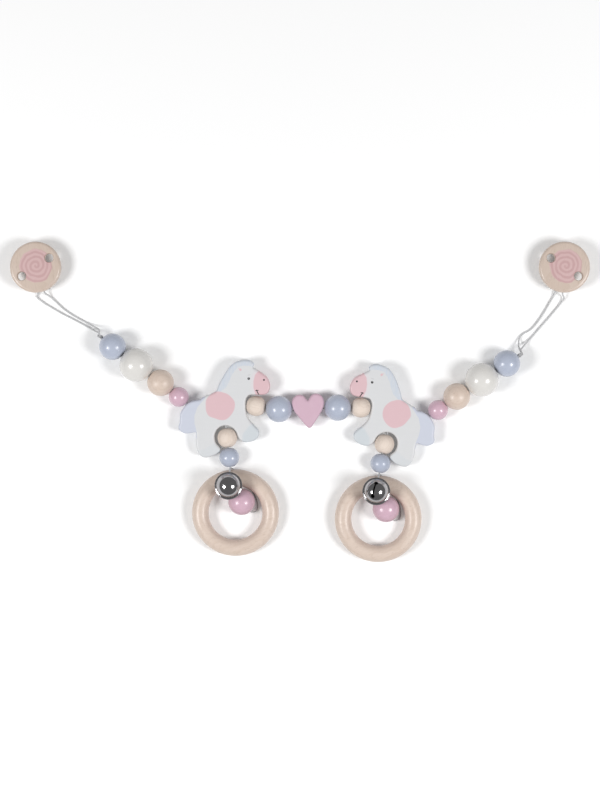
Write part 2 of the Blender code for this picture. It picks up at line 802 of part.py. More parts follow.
def bell_shell_mesh(name, sign):
    """Half a bell, from its pole to the flange where it meets the other half."""
    steps = 5
    seam = sign * bell_seam_gap / 2
    flange = seam + sign * bell_rim_thickness
    outer_end = math.acos(min(1, abs(flange) / bell_radius))
    inner_end = math.acos(min(1, abs(seam) / bell_inner_radius))
    middle = bell_centre_rise
    profile = []
    for k in range(steps + 1):
        turn = outer_end * k / steps
        profile.append((middle + sign * bell_radius * math.cos(turn), bell_radius * math.sin(turn)))
    profile += [(middle + flange, bell_rim_diameter / 2), (middle + seam, bell_rim_diameter / 2)]
    for k in range(steps, -1, -1):
        turn = inner_end * k / steps
        along = middle + sign * bell_inner_radius * math.cos(turn)
        profile.append((along, bell_inner_radius * math.sin(turn)))
    profile[0] = (profile[0][0], 0)
    profile[-1] = (profile[-1][0], 0)
    return turned_mesh(name, profile, 16, looped=False)


def make_bell(side):
    """Two pressed shells with a pellet inside. The origin is in the eye under the bell."""
    down = direction(directions_deg[side]["ring_loop"])
    eye = below_blue(side, bell_sideways, bell_reach, bell_eye_height)
    lean = math.radians(bell_lean_deg)
    axis = up * math.cos(lean) - down * math.sin(lean)
    place = frame_at(eye, axis, down)
    upper = side + "_bell_upper_shell"
    lower = side + "_bell_lower_shell"
    upper_shell = make_node(upper, bell_shell_mesh(upper, 1), "polished_steel", place)
    lower_shell = make_node(lower, bell_shell_mesh(lower, -1), "polished_steel", place)
    slotted = upper_shell if side == "right" else lower_shell
    for cutter in bell_slot_cutters(side, slotted.name, place):
        boolean(slotted, cutter, "DIFFERENCE")
    wire = bell_eye_wire / 2
    eye_radius = bell_eye_diameter / 2 - wire
    eye_mesh = torus_mesh(lower + "_eye", eye_radius, wire, around=12, across=6)
    boolean(lower_shell, link_object(lower + "_eye", eye_mesh, place), "UNION")

    pellet_radius = pellet_diameter / 2
    drop = bell_inner_radius - pellet_radius - seat_gap
    name = side + "_bell_pellet"
    profile = [
        (-pellet_radius * math.cos(math.pi * k / 6), pellet_radius * math.sin(math.pi * k / 6))
        for k in range(1, 6)
    ]
    profile = [(-pellet_radius, 0)] + profile + [(pellet_radius, 0)]
    mesh = turned_mesh(name, profile, 12, looped=False)
    rest = Matrix.Translation(eye + axis * bell_centre_rise - up * drop)
    make_node(name, mesh, "polished_steel", rest)


def make_dangle(side):
    """What hangs from one horse: two small beads, and a ring tied with a bell and a bead."""
    hang = direction(directions_deg[side]["dangle"])
    down = direction(directions_deg[side]["ring_loop"])
    top = belly_gap(side)
    span = bead_span(bead_small_diameter)
    between = top + hang * (span + piece_gap)
    between.z = dangle_gap_cord_height
    make_bead(side + "_dangle_natural_bead", bead_small_diameter, "raw_wood", top, between)
    centre = blue_centre(side)
    name = side + "_dangle_blue_bead"
    axis = blue_bore_axis(side)
    mesh = bead_mesh(name, bead_small_diameter)
    make_node(name, mesh, "blue_lacquer", frame_at(centre, axis, up))

    start = top + (between - top).normalized() * (cord_end_gap / 2)
    pivot = split_point(side)
    split = pivot - axis * cord_end_gap
    entry = centre - axis * (span / 2)
    entry.z = (dangle_gap_cord_height + dangle_bead_height) / 2
    make_route_cord(side + "_dangle_cord", [start, between, entry, centre, split], top)

    bead_sideways, bead_reach = pink_bead_place()
    round_bead = [(x + bead_sideways, y + bead_reach, z) for x, y, z in ring_tie_route_round_bead]
    steps = ring_tie_route_out + round_bead + ring_tie_route_back
    make_route_cord(side + "_ring_loop", [below_blue(side, *p) for p in steps], pivot)
    make_ring(side)
    make_bell(side)
    bore = pink_bead_bore_direction
    across = up.cross(down)
    axis = across * bore[0] + down * bore[1] + up * bore[2]
    middle = below_blue(side, bead_sideways, bead_reach, pink_bead_height)
    name = side + "_ring_bead"
    mesh = bead_mesh(name, bead_medium_diameter)
    make_node(name, mesh, "pink_lacquer", frame_at(middle, axis, up))


# Clips

def make_disc(side, frame, joint):
    """The wooden disc, with two round vents through it."""
    radius = disc_diameter / 2
    low, high = disc_bottom, disc_bottom + disc_thickness
    eased = []
    for turn in (0, math.pi / 4, math.pi / 2):
        inward = disc_edge_round * (1 - math.sin(turn))
        eased.append((disc_edge_round * (1 - math.cos(turn)), radius - inward))
    bottom = [(low + along, reach) for along, reach in eased]
    top = [(high - along, reach) for along, reach in reversed(eased)]
    profile = [(low, 0)] + bottom + top + [(high, 0)]
    name = side + "_clip_disc"
    mesh = turned_mesh(name, profile, 32, looped=False)
    upright = frame_at((0, 0, 0), up, (1, 0, 0))
    disc = make_node(name, mesh, "clear_wood", frame @ upright)
    turn = math.radians(vent_line_deg if side == "left" else -vent_line_deg)
    for label, reach in (("_vent_a", vent_radius), ("_vent_b", -vent_radius)):
        spot = Matrix.Translation(Vector((reach * math.cos(turn), reach * math.sin(turn), 0)))
        mesh = rod_mesh(name + label, vent_diameter / 2, 0, high + cutter_overrun, segments=16)
        vent = link_object(name + label, mesh, frame @ spot @ upright)
        boolean(disc, vent, "DIFFERENCE")
    ride_on(disc, joint)


def make_plate(side, frame, joint):
    """The steel back of the clip: a flat plate, two ears for the pin, and the bail."""
    name = side + "_clip_plate"
    low, high = plate_height, plate_height + plate_thickness
    slope_end = plate_front_reach + plate_slope_length
    outline = [
        (-plate_back_reach, low),
        (plate_front_reach, low),
        (slope_end, bail_height),
        (bail_reach, bail_height),
        (bail_reach, bail_height + plate_thickness),
        (slope_end + plate_thickness / 2, bail_height + plate_thickness),
        (plate_front_reach + plate_thickness / 2, high),
        (-plate_back_reach, high),
    ]
    plate = make_node(name, bent_strip_mesh(name, outline, plate_width), "clip_steel", frame)
    for label, sign in (("_ear_a", 1), ("_ear_b", -1)):
        outer = sign * plate_width / 2
        inner = sign * (plate_width / 2 - plate_thickness)
        start = -pin_setback - ear_length / 2
        corner_low = (start, min(inner, outer), ear_foot_height)
        corner_high = (start + ear_length, max(inner, outer), plate_height + plate_thickness / 2)
        ear = box_mesh(name + label, corner_low, corner_high)
        boolean(plate, link_object(name + label, ear, frame), "UNION")
    corner_low = (bail_slot_start, -bail_slot_width / 2, bail_height - cutter_overrun)
    corner_high = (
        bail_slot_start + bail_slot_length,
        bail_slot_width / 2,
        bail_height + cutter_overrun,
    )
    slot = box_mesh(name + "_bail_slot", corner_low, corner_high)
    boolean(plate, link_object(name + "_bail_slot", slot, frame), "DIFFERENCE")
    reach = plate_width / 2 + cutter_overrun
    hole = rod_mesh(name + "_pin_hole", pin_diameter / 2 + pin_running_gap, -reach, reach)
    boolean(plate, link_object(name + "_pin_hole", hole, pin_frame(frame)), "DIFFERENCE")
    ride_on(plate, joint)


def pin_frame(frame):
    """The pin's place, with X along the pin."""
    return frame @ frame_at((-pin_setback, 0, pin_height), (0, 1, 0), up)


def make_lever(side, frame, joint):
    """The lever that presses cloth against the pad: a flat handle and a round knuckle."""
    name = side + "_clip_lever"
    knuckle = lever_knuckle_diameter / 2
    steps = 12
    outline = [(lever_reach, 0), (lever_reach, lever_thickness)]
    start = -math.asin((pin_height - lever_thickness) / knuckle)
    end = 1.5 * math.pi
    for k in range(steps + 1):
        turn = start + (end - start) * k / steps
        x = -pin_setback + knuckle * math.cos(turn)
        outline.append((x, pin_height + knuckle * math.sin(turn)))
    outline.append((-pin_setback, 0))
    centred = [(x + pin_setback, z - pin_height) for x, z in outline]
    mesh = bent_strip_mesh(name, centred, lever_width)
    place = frame @ Matrix.Translation(Vector((-pin_setback, 0, pin_height)))
    lever = make_node(name, mesh, "clip_steel", place)
    reach = lever_width / 2 + cutter_overrun
    hole = rod_mesh(name + "_pin_hole", pin_diameter / 2 + pin_running_gap, -reach, reach)
    boolean(lever, link_object(name + "_pin_hole", hole, pin_frame(frame)), "DIFFERENCE")
    ride_on(lever, joint)


def make_pad(side, frame, joint):
    """The plastic pad under the plate, ribbed where it grips."""
    name = side + "_clip_pad"
    top = plate_height - glue_line
    low = top - pad_thickness
    pitch = pad_length / (2 * pad_rib_count + 1)
    start = -pin_setback - pad_length / 2
    outline = [(start, low)]
    for k in range(pad_rib_count):
        groove = start + pitch * (2 * k + 1)
        outline += [(groove, low), (groove, low + pad_rib_depth)]
        outline += [(groove + pitch, low + pad_rib_depth), (groove + pitch, low)]
    outline += [(start + pad_length, low), (start + pad_length, top), (start, top)]
    pad = make_node(name, bent_strip_mesh(name, outline, pad_width), "clip_plastic", frame)
    ride_on(pad, joint)


def make_clip(side):
    frame = clip_frame(side)
    bail = frame @ Vector((bail_slot_start + bail_slot_length / 2, 0, bail_height))
    joint = link_object(side + "_clip_joint", None, Matrix.Translation(bail))
    make_disc(side, frame, joint)
    make_plate(side, frame, joint)
    make_lever(side, frame, joint)
    make_pad(side, frame, joint)
    name = side + "_clip_pin"
    half = plate_width / 2
    pin = rod_mesh(name, pin_diameter / 2, -half, half)
    ride_on(make_node(name, pin, "clip_steel", pin_frame(frame)), joint)


for old in list(bpy.data.objects):
    bpy.data.objects.remove(old)
to_origin = plan_centre()
make_heart()
for arm in ("left", "right"):
    make_arm(arm)
    make_end_loop(arm)
    make_dangle(arm)
    make_clip(arm)
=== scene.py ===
import json
import math
import bmesh
import bpy
import numpy as np
from mathutils import Matrix, Vector, geometry

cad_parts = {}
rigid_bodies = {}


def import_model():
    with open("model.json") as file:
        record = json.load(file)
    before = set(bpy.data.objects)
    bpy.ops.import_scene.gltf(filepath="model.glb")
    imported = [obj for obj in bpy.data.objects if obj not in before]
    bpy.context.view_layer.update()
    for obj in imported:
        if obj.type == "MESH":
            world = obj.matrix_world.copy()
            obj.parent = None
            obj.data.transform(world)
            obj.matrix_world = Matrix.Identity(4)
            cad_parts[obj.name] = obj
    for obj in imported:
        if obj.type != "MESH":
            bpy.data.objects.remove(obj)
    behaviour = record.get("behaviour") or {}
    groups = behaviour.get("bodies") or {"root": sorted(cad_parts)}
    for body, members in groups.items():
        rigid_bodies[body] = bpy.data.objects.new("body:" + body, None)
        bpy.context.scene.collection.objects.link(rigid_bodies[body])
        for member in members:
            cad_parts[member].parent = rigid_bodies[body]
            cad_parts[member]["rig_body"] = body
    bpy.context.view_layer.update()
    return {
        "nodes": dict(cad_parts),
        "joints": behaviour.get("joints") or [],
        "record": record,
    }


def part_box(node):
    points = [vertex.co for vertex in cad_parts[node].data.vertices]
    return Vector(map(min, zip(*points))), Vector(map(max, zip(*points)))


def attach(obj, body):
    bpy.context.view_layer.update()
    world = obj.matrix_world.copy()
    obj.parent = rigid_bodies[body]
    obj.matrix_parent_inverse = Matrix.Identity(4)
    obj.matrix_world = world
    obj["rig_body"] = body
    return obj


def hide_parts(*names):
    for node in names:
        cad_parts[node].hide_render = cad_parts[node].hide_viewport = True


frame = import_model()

# A pram chain toy laid flat on a pale table, seen from straight above.
# X runs along the toy, Y towards the two clips, and the table is at height 0.
cadNodes = frame["nodes"]
joints = {j["child"]: j for j in frame["joints"]}
sides = ("left", "right")
up = Vector((0, 0, 1))
print("frame loaded:", len(cadNodes), "nodes")


# Small helpers for node trees, used by the shapes and by the finishes

def addNode(tree, kind, values=None, **settings):
    node = tree.nodes.new(kind)
    for key, value in settings.items():
        setattr(node, key, value)
    for key, value in (values or {}).items():
        socket = node.inputs[key]
        if isinstance(value, bpy.types.NodeSocket):
            tree.links.new(value, socket)
        else:
            socket.default_value = value
    return node


def compute(tree, operation, *values, clamp=False):
    given = dict(enumerate(values))
    return addNode(tree, "ShaderNodeMath", given, operation=operation, use_clamp=clamp).outputs[0]


def vectorCompute(tree, operation, *values, outlet=0, scale=None):
    given = dict(enumerate(values))
    if scale is not None:
        given["Scale"] = scale
    return addNode(tree, "ShaderNodeVectorMath", given, operation=operation).outputs[outlet]


def remap(tree, value, low, high, toLow=0.0, toHigh=1.0, smooth=False):
    values = {"Value": value, "From Min": low, "From Max": high, "To Min": toLow, "To Max": toHigh}
    shape = "SMOOTHSTEP" if smooth else "LINEAR"
    return addNode(tree, "ShaderNodeMapRange", values, interpolation_type=shape).outputs[0]


def noise(tree, place, scale, detail, **values):
    given = {"Vector": place, "Scale": scale, "Detail": detail}
    given.update({key.capitalize(): value for key, value in values.items()})
    return addNode(tree, "ShaderNodeTexNoise", given).outputs


def sendOut(tree, outlets, values):
    for label, socket in values.items():
        tree.links.new(socket, outlets[label])


# An input is given as its kind of socket, or as a number that a user of the group may leave out
def newTree(name, kind, inputs, outputs):
    tree = bpy.data.node_groups.new(name, kind + "NodeTree")
    for label, value in inputs.items():
        socket = value if isinstance(value, str) else "Float"
        made = tree.interface.new_socket(label, in_out="INPUT", socket_type="NodeSocket" + socket)
        if socket != value:
            made.default_value = value
    for label, socket in outputs.items():
        tree.interface.new_socket(label, in_out="OUTPUT", socket_type="NodeSocket" + socket)
    given = tree.nodes.new("NodeGroupInput").outputs
    made = tree.nodes.new("NodeGroupOutput").inputs
    return tree, given, made


def setInputs(modifier, values):
    for item in modifier.node_group.interface.items_tree:
        if item.item_type == "SOCKET" and item.in_out == "INPUT" and item.name in values:
            modifier[item.identifier] = values[item.name]


def linkObject(name, data):
    made = bpy.data.objects.new(name, data)
    bpy.context.scene.collection.objects.link(made)
    return made


# The modifiers' result as a mesh of its own, with the object gone
def plainMesh(source, name):
    bpy.context.view_layer.update()
    graph = bpy.context.evaluated_depsgraph_get()
    mesh = bpy.data.meshes.new_from_object(source.evaluated_get(graph), depsgraph=graph)
    mesh.name = name
    bpy.data.objects.remove(source)
    return mesh


# Camera

cameraView = {
    "height": 1.70, "aim": (0.0, 0.00155), "seenHeight": 0.600, "sensor": 36.0,
    "clip": (0.05, 20),
}


def makeCamera():
    data = bpy.data.cameras.new("photoCamera")
    camera = linkObject("photoCamera", data)
    data.sensor_fit = "AUTO"
    data.sensor_width = cameraView["sensor"]
    data.lens = cameraView["sensor"] * cameraView["height"] / cameraView["seenHeight"]
    data.clip_start, data.clip_end = cameraView["clip"]
    camera.location = (*cameraView["aim"], cameraView["height"])
    bpy.context.scene.camera = camera


makeCamera()
print("camera made")


# Cord: a plaited tube that follows a route, with round ends

cordLook = {
    "diameter": 0.0013,
    "routeStep": 0.0008,
    "ringStep": 0.00026,
    "sides": 14,
    "plaitPitch": 0.0030,
    "plaitCrossings": 4,
    "plaitDepth": 0.00005,
    "knotDiameter": 0.0036,
    "knotInset": 0.0015,
    "knotDepth": 0.00062,
    "knotStartDeg": 24,
    "knotTurnDeg": 312,
    "knotSteps": 56,
    "endGap": 0.0003,
    "joinDistance": 0.000012,
}
# The free loops, in millimetres: from the knot round the clip's bail and back
endLoopRoutes = {
    "left": [
        (-149.60, 50.35, 10.22), (-150.20, 54.05, 8.00), (-152.50, 55.55, 5.00),
        (-155.30, 57.15, 2.60), (-158.80, 59.05, 1.20), (-162.00, 60.75, 0.80),
        (-167.50, 63.75, 0.80), (-173.40, 67.35, 0.80), (-177.10, 70.05, 0.80),
        (-180.40, 73.05, 0.80), (-184.30, 76.75, 1.00), (-187.90, 79.75, 2.20),
        (-190.57, 81.37, 4.50), (-191.85, 83.99, 5.40), (-193.46, 86.25, 5.20),
        (-194.60, 86.96, 3.80), (-195.43, 85.90, 2.40), (-196.18, 83.23, 2.10),
        (-196.48, 80.33, 1.50), (-196.60, 78.35, 1.00), (-191.40, 74.25, 0.80),
        (-185.00, 70.35, 0.80), (-177.70, 66.15, 0.80), (-172.20, 63.35, 0.80),
        (-166.80, 60.55, 0.80), (-162.00, 58.05, 0.80), (-158.30, 55.85, 1.20),
        (-155.00, 53.95, 2.60), (-152.10, 52.55, 5.00), (-150.00, 51.65, 7.80),
        (-150.61, 49.10, 10.22),
    ],
    "right": [
        (165.84, 35.46, 10.22), (164.80, 38.95, 8.20), (166.70, 41.15, 5.20),
        (168.80, 43.55, 2.80), (171.30, 46.35, 1.30), (174.00, 49.35, 0.80),
        (179.30, 55.45, 0.80), (183.50, 60.25, 0.80), (187.20, 64.55, 0.80),
        (191.00, 68.95, 0.80), (194.60, 73.45, 1.00), (197.60, 77.55, 2.20),
        (196.48, 80.33, 4.50), (196.18, 83.23, 5.40), (195.43, 85.90, 5.20),
        (194.60, 86.96, 3.80), (193.46, 86.25, 2.40), (191.85, 83.99, 2.10),
        (190.57, 81.37, 1.50), (189.60, 79.15, 1.00), (186.80, 74.55, 0.80),
        (183.80, 69.35, 0.80), (179.30, 62.25, 0.80), (174.80, 56.45, 0.80),
        (171.40, 53.55, 0.80), (168.00, 51.75, 0.80), (165.50, 49.75, 1.00),
        (164.00, 46.75, 1.80), (163.60, 43.55, 3.60), (163.60, 40.55, 6.60),
        (164.96, 36.80, 10.22),
    ],
}
# The tie of a ring, in millimetres: sideways of the blue bead, down from its split, and height
ringLoopRoute = [
    (0.0, 0.2, 9.3), (0.0, 2.2, 9.3), (-0.3, 3.5, 10.5), (-0.6, 4.9, 12.8), (-1.0, 7.3, 14.5),
    (-1.5, 10.3, 15.1), (-1.9, 13.3, 14.2), (-2.3, 16.9, 13.1), (-1.6, 19.3, 13.2),
    (0.5, 21.8, 14.4), (3.1, 25.3, 12.4), (5.8, 28.8, 10.3), (8.5, 32.3, 8.3),
    (11.1, 35.8, 6.2), (12.8, 37.5, 4.4), (14.9, 37.4, 2.6), (16.6, 35.5, 1.4),
    (17.1, 32.5, 0.9), (16.5, 28.0, 0.7), (14.5, 22.3, 0.7), (11.5, 16.8, 0.7),
    (8.0, 11.8, 0.7), (4.8, 7.3, 0.8), (2.0, 4.5, 2.2), (0.6, 3.3, 4.6), (0.0, 3.25, 6.3),
    (0.0, 2.8, 7.7), (0.0, 1.6, 7.9), (0.0, 0.2, 7.85),
]
# Where the strands of an end loop start, inside its knot and beside each other
strandStart = {"depth": 0.0006, "spread": 0.00055}
splitPoint = {"left": (-0.05218, -0.04629, 0.0086), "right": (0.05925, -0.05066, 0.0086)}
loopDownDeg = {"left": -84.3, "right": -92.0}


def direction(degrees):
    return Vector((math.cos(math.radians(degrees)), math.sin(math.radians(degrees)), 0))


# A point on the smooth curve from b to c, which comes from a and goes on to d
def curvePoint(a, b, c, d, t):
    bend = a * 2 - b * 5 + c * 4 - d
    twist = b * 3 - a - c * 3 + d
    return b + ((c - a) * t + bend * t ** 2 + twist * t ** 3) / 2


def smoothRoute(points):
    knots = [Vector(p) for p in points]
    knots = [knots[0] * 2 - knots[1]] + knots + [knots[-1] * 2 - knots[-2]]
    found = []
    for a, b, c, d in zip(knots, knots[1:], knots[2:], knots[3:]):
        steps = max(2, round((c - b).length / cordLook["routeStep"]))
        found += [curvePoint(a, b, c, d, k / steps) for k in range(steps)]
    return found + [knots[-2]]


def routeLength(points):
    return sum((q - p).length for p, q in zip(points, points[1:]))


# Every tree that makes a shape ends with real geometry in its finish
def endShape(tree, geometry, finish, outlet):
    smooth = addNode(tree, "GeometryNodeSetShadeSmooth", {"Geometry": geometry})
    real = addNode(tree, "GeometryNodeRealizeInstances", {"Geometry": smooth.outputs[0]})
    done = addNode(tree, "GeometryNodeSetMaterial",
                   {"Geometry": real.outputs[0], "Material": finish})
    tree.links.new(done.outputs[0], outlet)


def joinPoints(tree, geometry, distance):
    return addNode(tree, "GeometryNodeMergeByDistance",
                   {"Geometry": geometry, "Distance": distance}).outputs[0]


def keepValues(tree, geometry, values):
    node = addNode(tree, "GeometryNodeCaptureAttribute", {"Geometry": geometry})
    for key, value in values.items():
        node.capture_items.new("FLOAT", key)
        tree.links.new(value, node.inputs[key])
    return node.outputs


def buildPlaitTree():
    tree, given, made = newTree("plaitedCord", "Geometry", {
        "Route": "Geometry", "Diameter": "Float", "Ring Step": "Float", "Sides": "Int",
        "Plait Pitch": "Float", "Crossings": "Float", "Plait Depth": "Float",
        "Finish": "Material",
    }, {"Cord": "Geometry"})
    radius = compute(tree, "MULTIPLY", given["Diameter"], 0.5)
    curve = addNode(tree, "GeometryNodeMeshToCurve", {"Mesh": given["Route"]})
    fine = addNode(tree, "GeometryNodeResampleCurve",
                   {"Curve": curve.outputs[0], "Length": given["Ring Step"]}, mode="LENGTH")
    spot = addNode(tree, "GeometryNodeSplineParameter")
    total = addNode(tree, "GeometryNodeSplineLength").outputs["Length"]
    along = spot.outputs["Length"]
    # Both ends are round: the radius follows a half circle there
    nearEnd = compute(tree, "MINIMUM", along, compute(tree, "SUBTRACT", total, along))
    short = compute(tree, "SUBTRACT", 1.0, compute(tree, "DIVIDE", nearEnd, radius, clamp=True))
    bulge = compute(tree, "SUBTRACT", 1.0, compute(tree, "MULTIPLY", short, short))
    rings = keepValues(tree, fine.outputs[0],
                       {"along": along, "swell": compute(tree, "SQRT", bulge)})
    circle = addNode(tree, "GeometryNodeCurveArc", {
        "Resolution": compute(tree, "ADD", given["Sides"], 1),
        "Radius": radius, "Start Angle": 0.0, "Sweep Angle": 2 * math.pi,
    }, mode="RADIUS")
    hoop = keepValues(tree, circle.outputs[0], {"around": spot.outputs["Factor"]})
    tube = addNode(tree, "GeometryNodeCurveToMesh", {
        "Curve": rings["Geometry"], "Profile Curve": hoop["Geometry"], "Scale": rings["swell"],
    })
    run = compute(tree, "DIVIDE", rings["along"], given["Plait Pitch"])
    turn = compute(tree, "MULTIPLY", hoop["around"], given["Crossings"])
    waves = [
        compute(tree, "SINE", compute(tree, "MULTIPLY", compute(tree, operation, turn, run),
                                      2 * math.pi))
        for operation in ("ADD", "SUBTRACT")
    ]
    height = compute(tree, "MULTIPLY", compute(tree, "MULTIPLY", *waves), given["Plait Depth"])
    height = compute(tree, "MULTIPLY", height, rings["swell"])
    normal = addNode(tree, "GeometryNodeInputNormal").outputs[0]
    mapped = addNode(tree, "GeometryNodeStoreNamedAttribute", {
        "Geometry": tube.outputs[0], "Name": "plaitMap",
        "Value": addNode(tree, "ShaderNodeCombineXYZ", {"X": turn, "Y": run}).outputs[0],
    }, data_type="FLOAT2", domain="CORNER")
    moved = addNode(tree, "GeometryNodeSetPosition", {
        "Geometry": joinPoints(tree, mapped.outputs[0], cordLook["joinDistance"]),
        "Offset": vectorCompute(tree, "SCALE", normal, scale=height),
    })
    endShape(tree, moved.outputs[0], given["Finish"], made["Cord"])
    return tree


plaitTree = buildPlaitTree()


# Runs a shape tree on bare lines, given as lists of points
def drawnMesh(name, lines, tree, values):
    points, edges = [], []
    for line in lines:
        start = len(points)
        points += [tuple(p) for p in line]
        edges += [(k, k + 1) for k in range(start, len(points) - 1)]
    mesh = bpy.data.meshes.new(name + "Lines")
    mesh.from_pydata(points, edges, [])
    source = linkObject(name + "Lines", mesh)
    modifier = source.modifiers.new("drawn", "NODES")
    modifier.node_group = tree
    setInputs(modifier, values)
    made = plainMesh(source, name)
    turnOutwards(made)
    return made


def plaitedCord(name, routes, finish):
    look = cordLook
    return linkObject(name, drawnMesh(name, routes, plaitTree, {
        "Diameter": look["diameter"] - 2 * look["plaitDepth"],
        "Ring Step": look["ringStep"],
        "Sides": look["sides"],
        "Plait Pitch": look["plaitPitch"],
        "Crossings": float(look["plaitCrossings"]),
        "Plait Depth": look["plaitDepth"],
        "Finish": finish,
    }))


def turnOutwards(mesh):
    shell = bmesh.new()
    shell.from_mesh(mesh)
    bmesh.ops.recalc_face_normals(shell, faces=shell.faces)
    shell.to_mesh(mesh)
    shell.free()


def settle(piece, node):
    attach(piece, cadNodes[node]["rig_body"])
    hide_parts(node)
    return piece


def camel(node):
    first, *rest = node.split("_")
    return first + "".join(word.capitalize() for word in rest)


# Effects shared by the finishes

grainLook = {
    "lines": 900.0, "stretch": 9.0, "detail": 3.0, "roughness": 0.62,
    "swaySize": 55.0, "swayDetail": 2.0, "sway": 0.006,
    "yearWidth": 0.0022, "yearFlatness": 0.06, "pithDepth": 0.031, "yearFade": 3.0,
    "poreSize": 2.3, "poreDetail": 1.0, "pores": (0.62, 0.72),
}


# Place is in metres, with X along the fibres
def buildGrainGroup():
    look = grainLook
    tree, given, made = newTree("woodGrain", "Shader", {
        "Place": "Vector", "Lines": look["lines"], "Stretch": look["stretch"],
    }, {"Fibre": "Float", "Year": "Float", "Pore": "Float"})
    long = compute(tree, "DIVIDE", given["Lines"], given["Stretch"])
    size = addNode(tree, "ShaderNodeCombineXYZ",
                   {"X": long, "Y": given["Lines"], "Z": given["Lines"]}).outputs[0]
    drawn = vectorCompute(tree, "MULTIPLY", given["Place"], size)
    fibre = noise(tree, drawn, 1.0, look["detail"], roughness=look["roughness"])
    sway = noise(tree, given["Place"], look["swaySize"], look["swayDetail"])
    shift = vectorCompute(tree, "SCALE", sway["Color"], scale=look["sway"])
    bent = vectorCompute(tree, "ADD", given["Place"], shift)
    parts = addNode(tree, "ShaderNodeSeparateXYZ", {"Vector": bent}).outputs
    flat = addNode(tree, "ShaderNodeCombineXYZ", {
        "X": compute(tree, "MULTIPLY", parts["X"], look["yearFlatness"]),
        "Y": parts["Y"],
        "Z": compute(tree, "ADD", parts["Z"], look["pithDepth"]),
    }).outputs[0]
    reach = vectorCompute(tree, "LENGTH", flat, outlet=1)
    share = compute(tree, "FRACT", compute(tree, "DIVIDE", reach, look["yearWidth"]))
    spotted = vectorCompute(tree, "SCALE", drawn, scale=look["poreSize"])
    specks = noise(tree, spotted, 1.0, look["poreDetail"])
    sendOut(tree, made, {
        "Fibre": fibre["Fac"],
        "Year": compute(tree, "POWER", share, look["yearFade"]),
        "Pore": remap(tree, specks["Fac"], *look["pores"]),
    })
    return tree


paintLook = {
    "cloudSize": 160.0, "cloudDetail": 3.0, "cloudRoughness": 0.55,
    "peelSize": 900.0, "peelDetail": 1.0,
    "rubSize": 2.7, "rubDetail": 4.0, "rubRoughness": 0.7, "rubs": (0.45, 0.75),
}


def buildPaintGroup():
    look = paintLook
    tree, given, made = newTree("paintSkin", "Shader", {
        "Place": "Vector", "Cloud Size": look["cloudSize"], "Peel Size": look["peelSize"],
    }, {"Cloud": "Float", "Peel": "Float", "Rub": "Float"})
    place = given["Place"]
    cloud = noise(tree, place, given["Cloud Size"], look["cloudDetail"],
                  roughness=look["cloudRoughness"])
    peel = noise(tree, place, given["Peel Size"], look["peelDetail"])
    rubSize = compute(tree, "MULTIPLY", given["Cloud Size"], look["rubSize"])
    rub = noise(tree, place, rubSize, look["rubDetail"], roughness=look["rubRoughness"])
    sendOut(tree, made, {"Cloud": cloud["Fac"], "Peel": peel["Fac"],
                         "Rub": remap(tree, rub["Fac"], *look["rubs"])})
    return tree


def softMask(tree, inside, blur):
    return remap(tree, inside, compute(tree, "MULTIPLY", blur, -1.0), blur, smooth=True)


def buildSpotGroup():
    tree, given, made = newTree("paintedSpot", "Shader", {
        "Place": "Vector", "Centre": "Vector", "Radius": "Float", "Blur": "Float",
    }, {"Mask": "Float"})
    away = vectorCompute(tree, "DISTANCE", given["Place"], given["Centre"], outlet=1)
    inside = compute(tree, "SUBTRACT", given["Radius"], away)
    sendOut(tree, made, {"Mask": softMask(tree, inside, given["Blur"])})
    return tree


def buildStrokeGroup():
    tree, given, made = newTree("paintedStroke", "Shader", {
        "Place": "Vector", "Start": "Vector", "End": "Vector", "Half Width": "Float",
        "Blur": "Float",
    }, {"Mask": "Float"})
    line = vectorCompute(tree, "SUBTRACT", given["End"], given["Start"])
    reach = vectorCompute(tree, "SUBTRACT", given["Place"], given["Start"])
    along = compute(tree, "DIVIDE", vectorCompute(tree, "DOT_PRODUCT", reach, line, outlet=1),
                    vectorCompute(tree, "DOT_PRODUCT", line, line, outlet=1), clamp=True)
    nearest = vectorCompute(tree, "SCALE", line, scale=along)
    away = vectorCompute(tree, "DISTANCE", reach, nearest, outlet=1)
    inside = compute(tree, "SUBTRACT", given["Half Width"], away)
    sendOut(tree, made, {"Mask": softMask(tree, inside, given["Blur"])})
    return tree


polishLook = {
    "hazeSize": 260.0, "hazeDetail": 4.0, "hazeRoughness": 0.6,
    "stretch": (0.12, 1.0, 0.35), "scratchDetail": 5.0, "scratchRoughness": 0.75,
    "scratchBend": 0.4, "scratches": (0.56, 0.72),
}


def buildPolishGroup():
    look = polishLook
    tree, given, made = newTree("handledMetal", "Shader",
                                {"Place": "Vector", "Scratch Size": "Float"},
                                {"Haze": "Float", "Scratch": "Float"})
    haze = noise(tree, given["Place"], look["hazeSize"], look["hazeDetail"],
                 roughness=look["hazeRoughness"])
    drawn = vectorCompute(tree, "MULTIPLY", given["Place"], look["stretch"])
    fine = noise(tree, drawn, given["Scratch Size"], look["scratchDetail"],
                 roughness=look["scratchRoughness"], distortion=look["scratchBend"])
    sendOut(tree, made, {"Haze": haze["Fac"],
                         "Scratch": remap(tree, fine["Fac"], *look["scratches"])})
    return tree


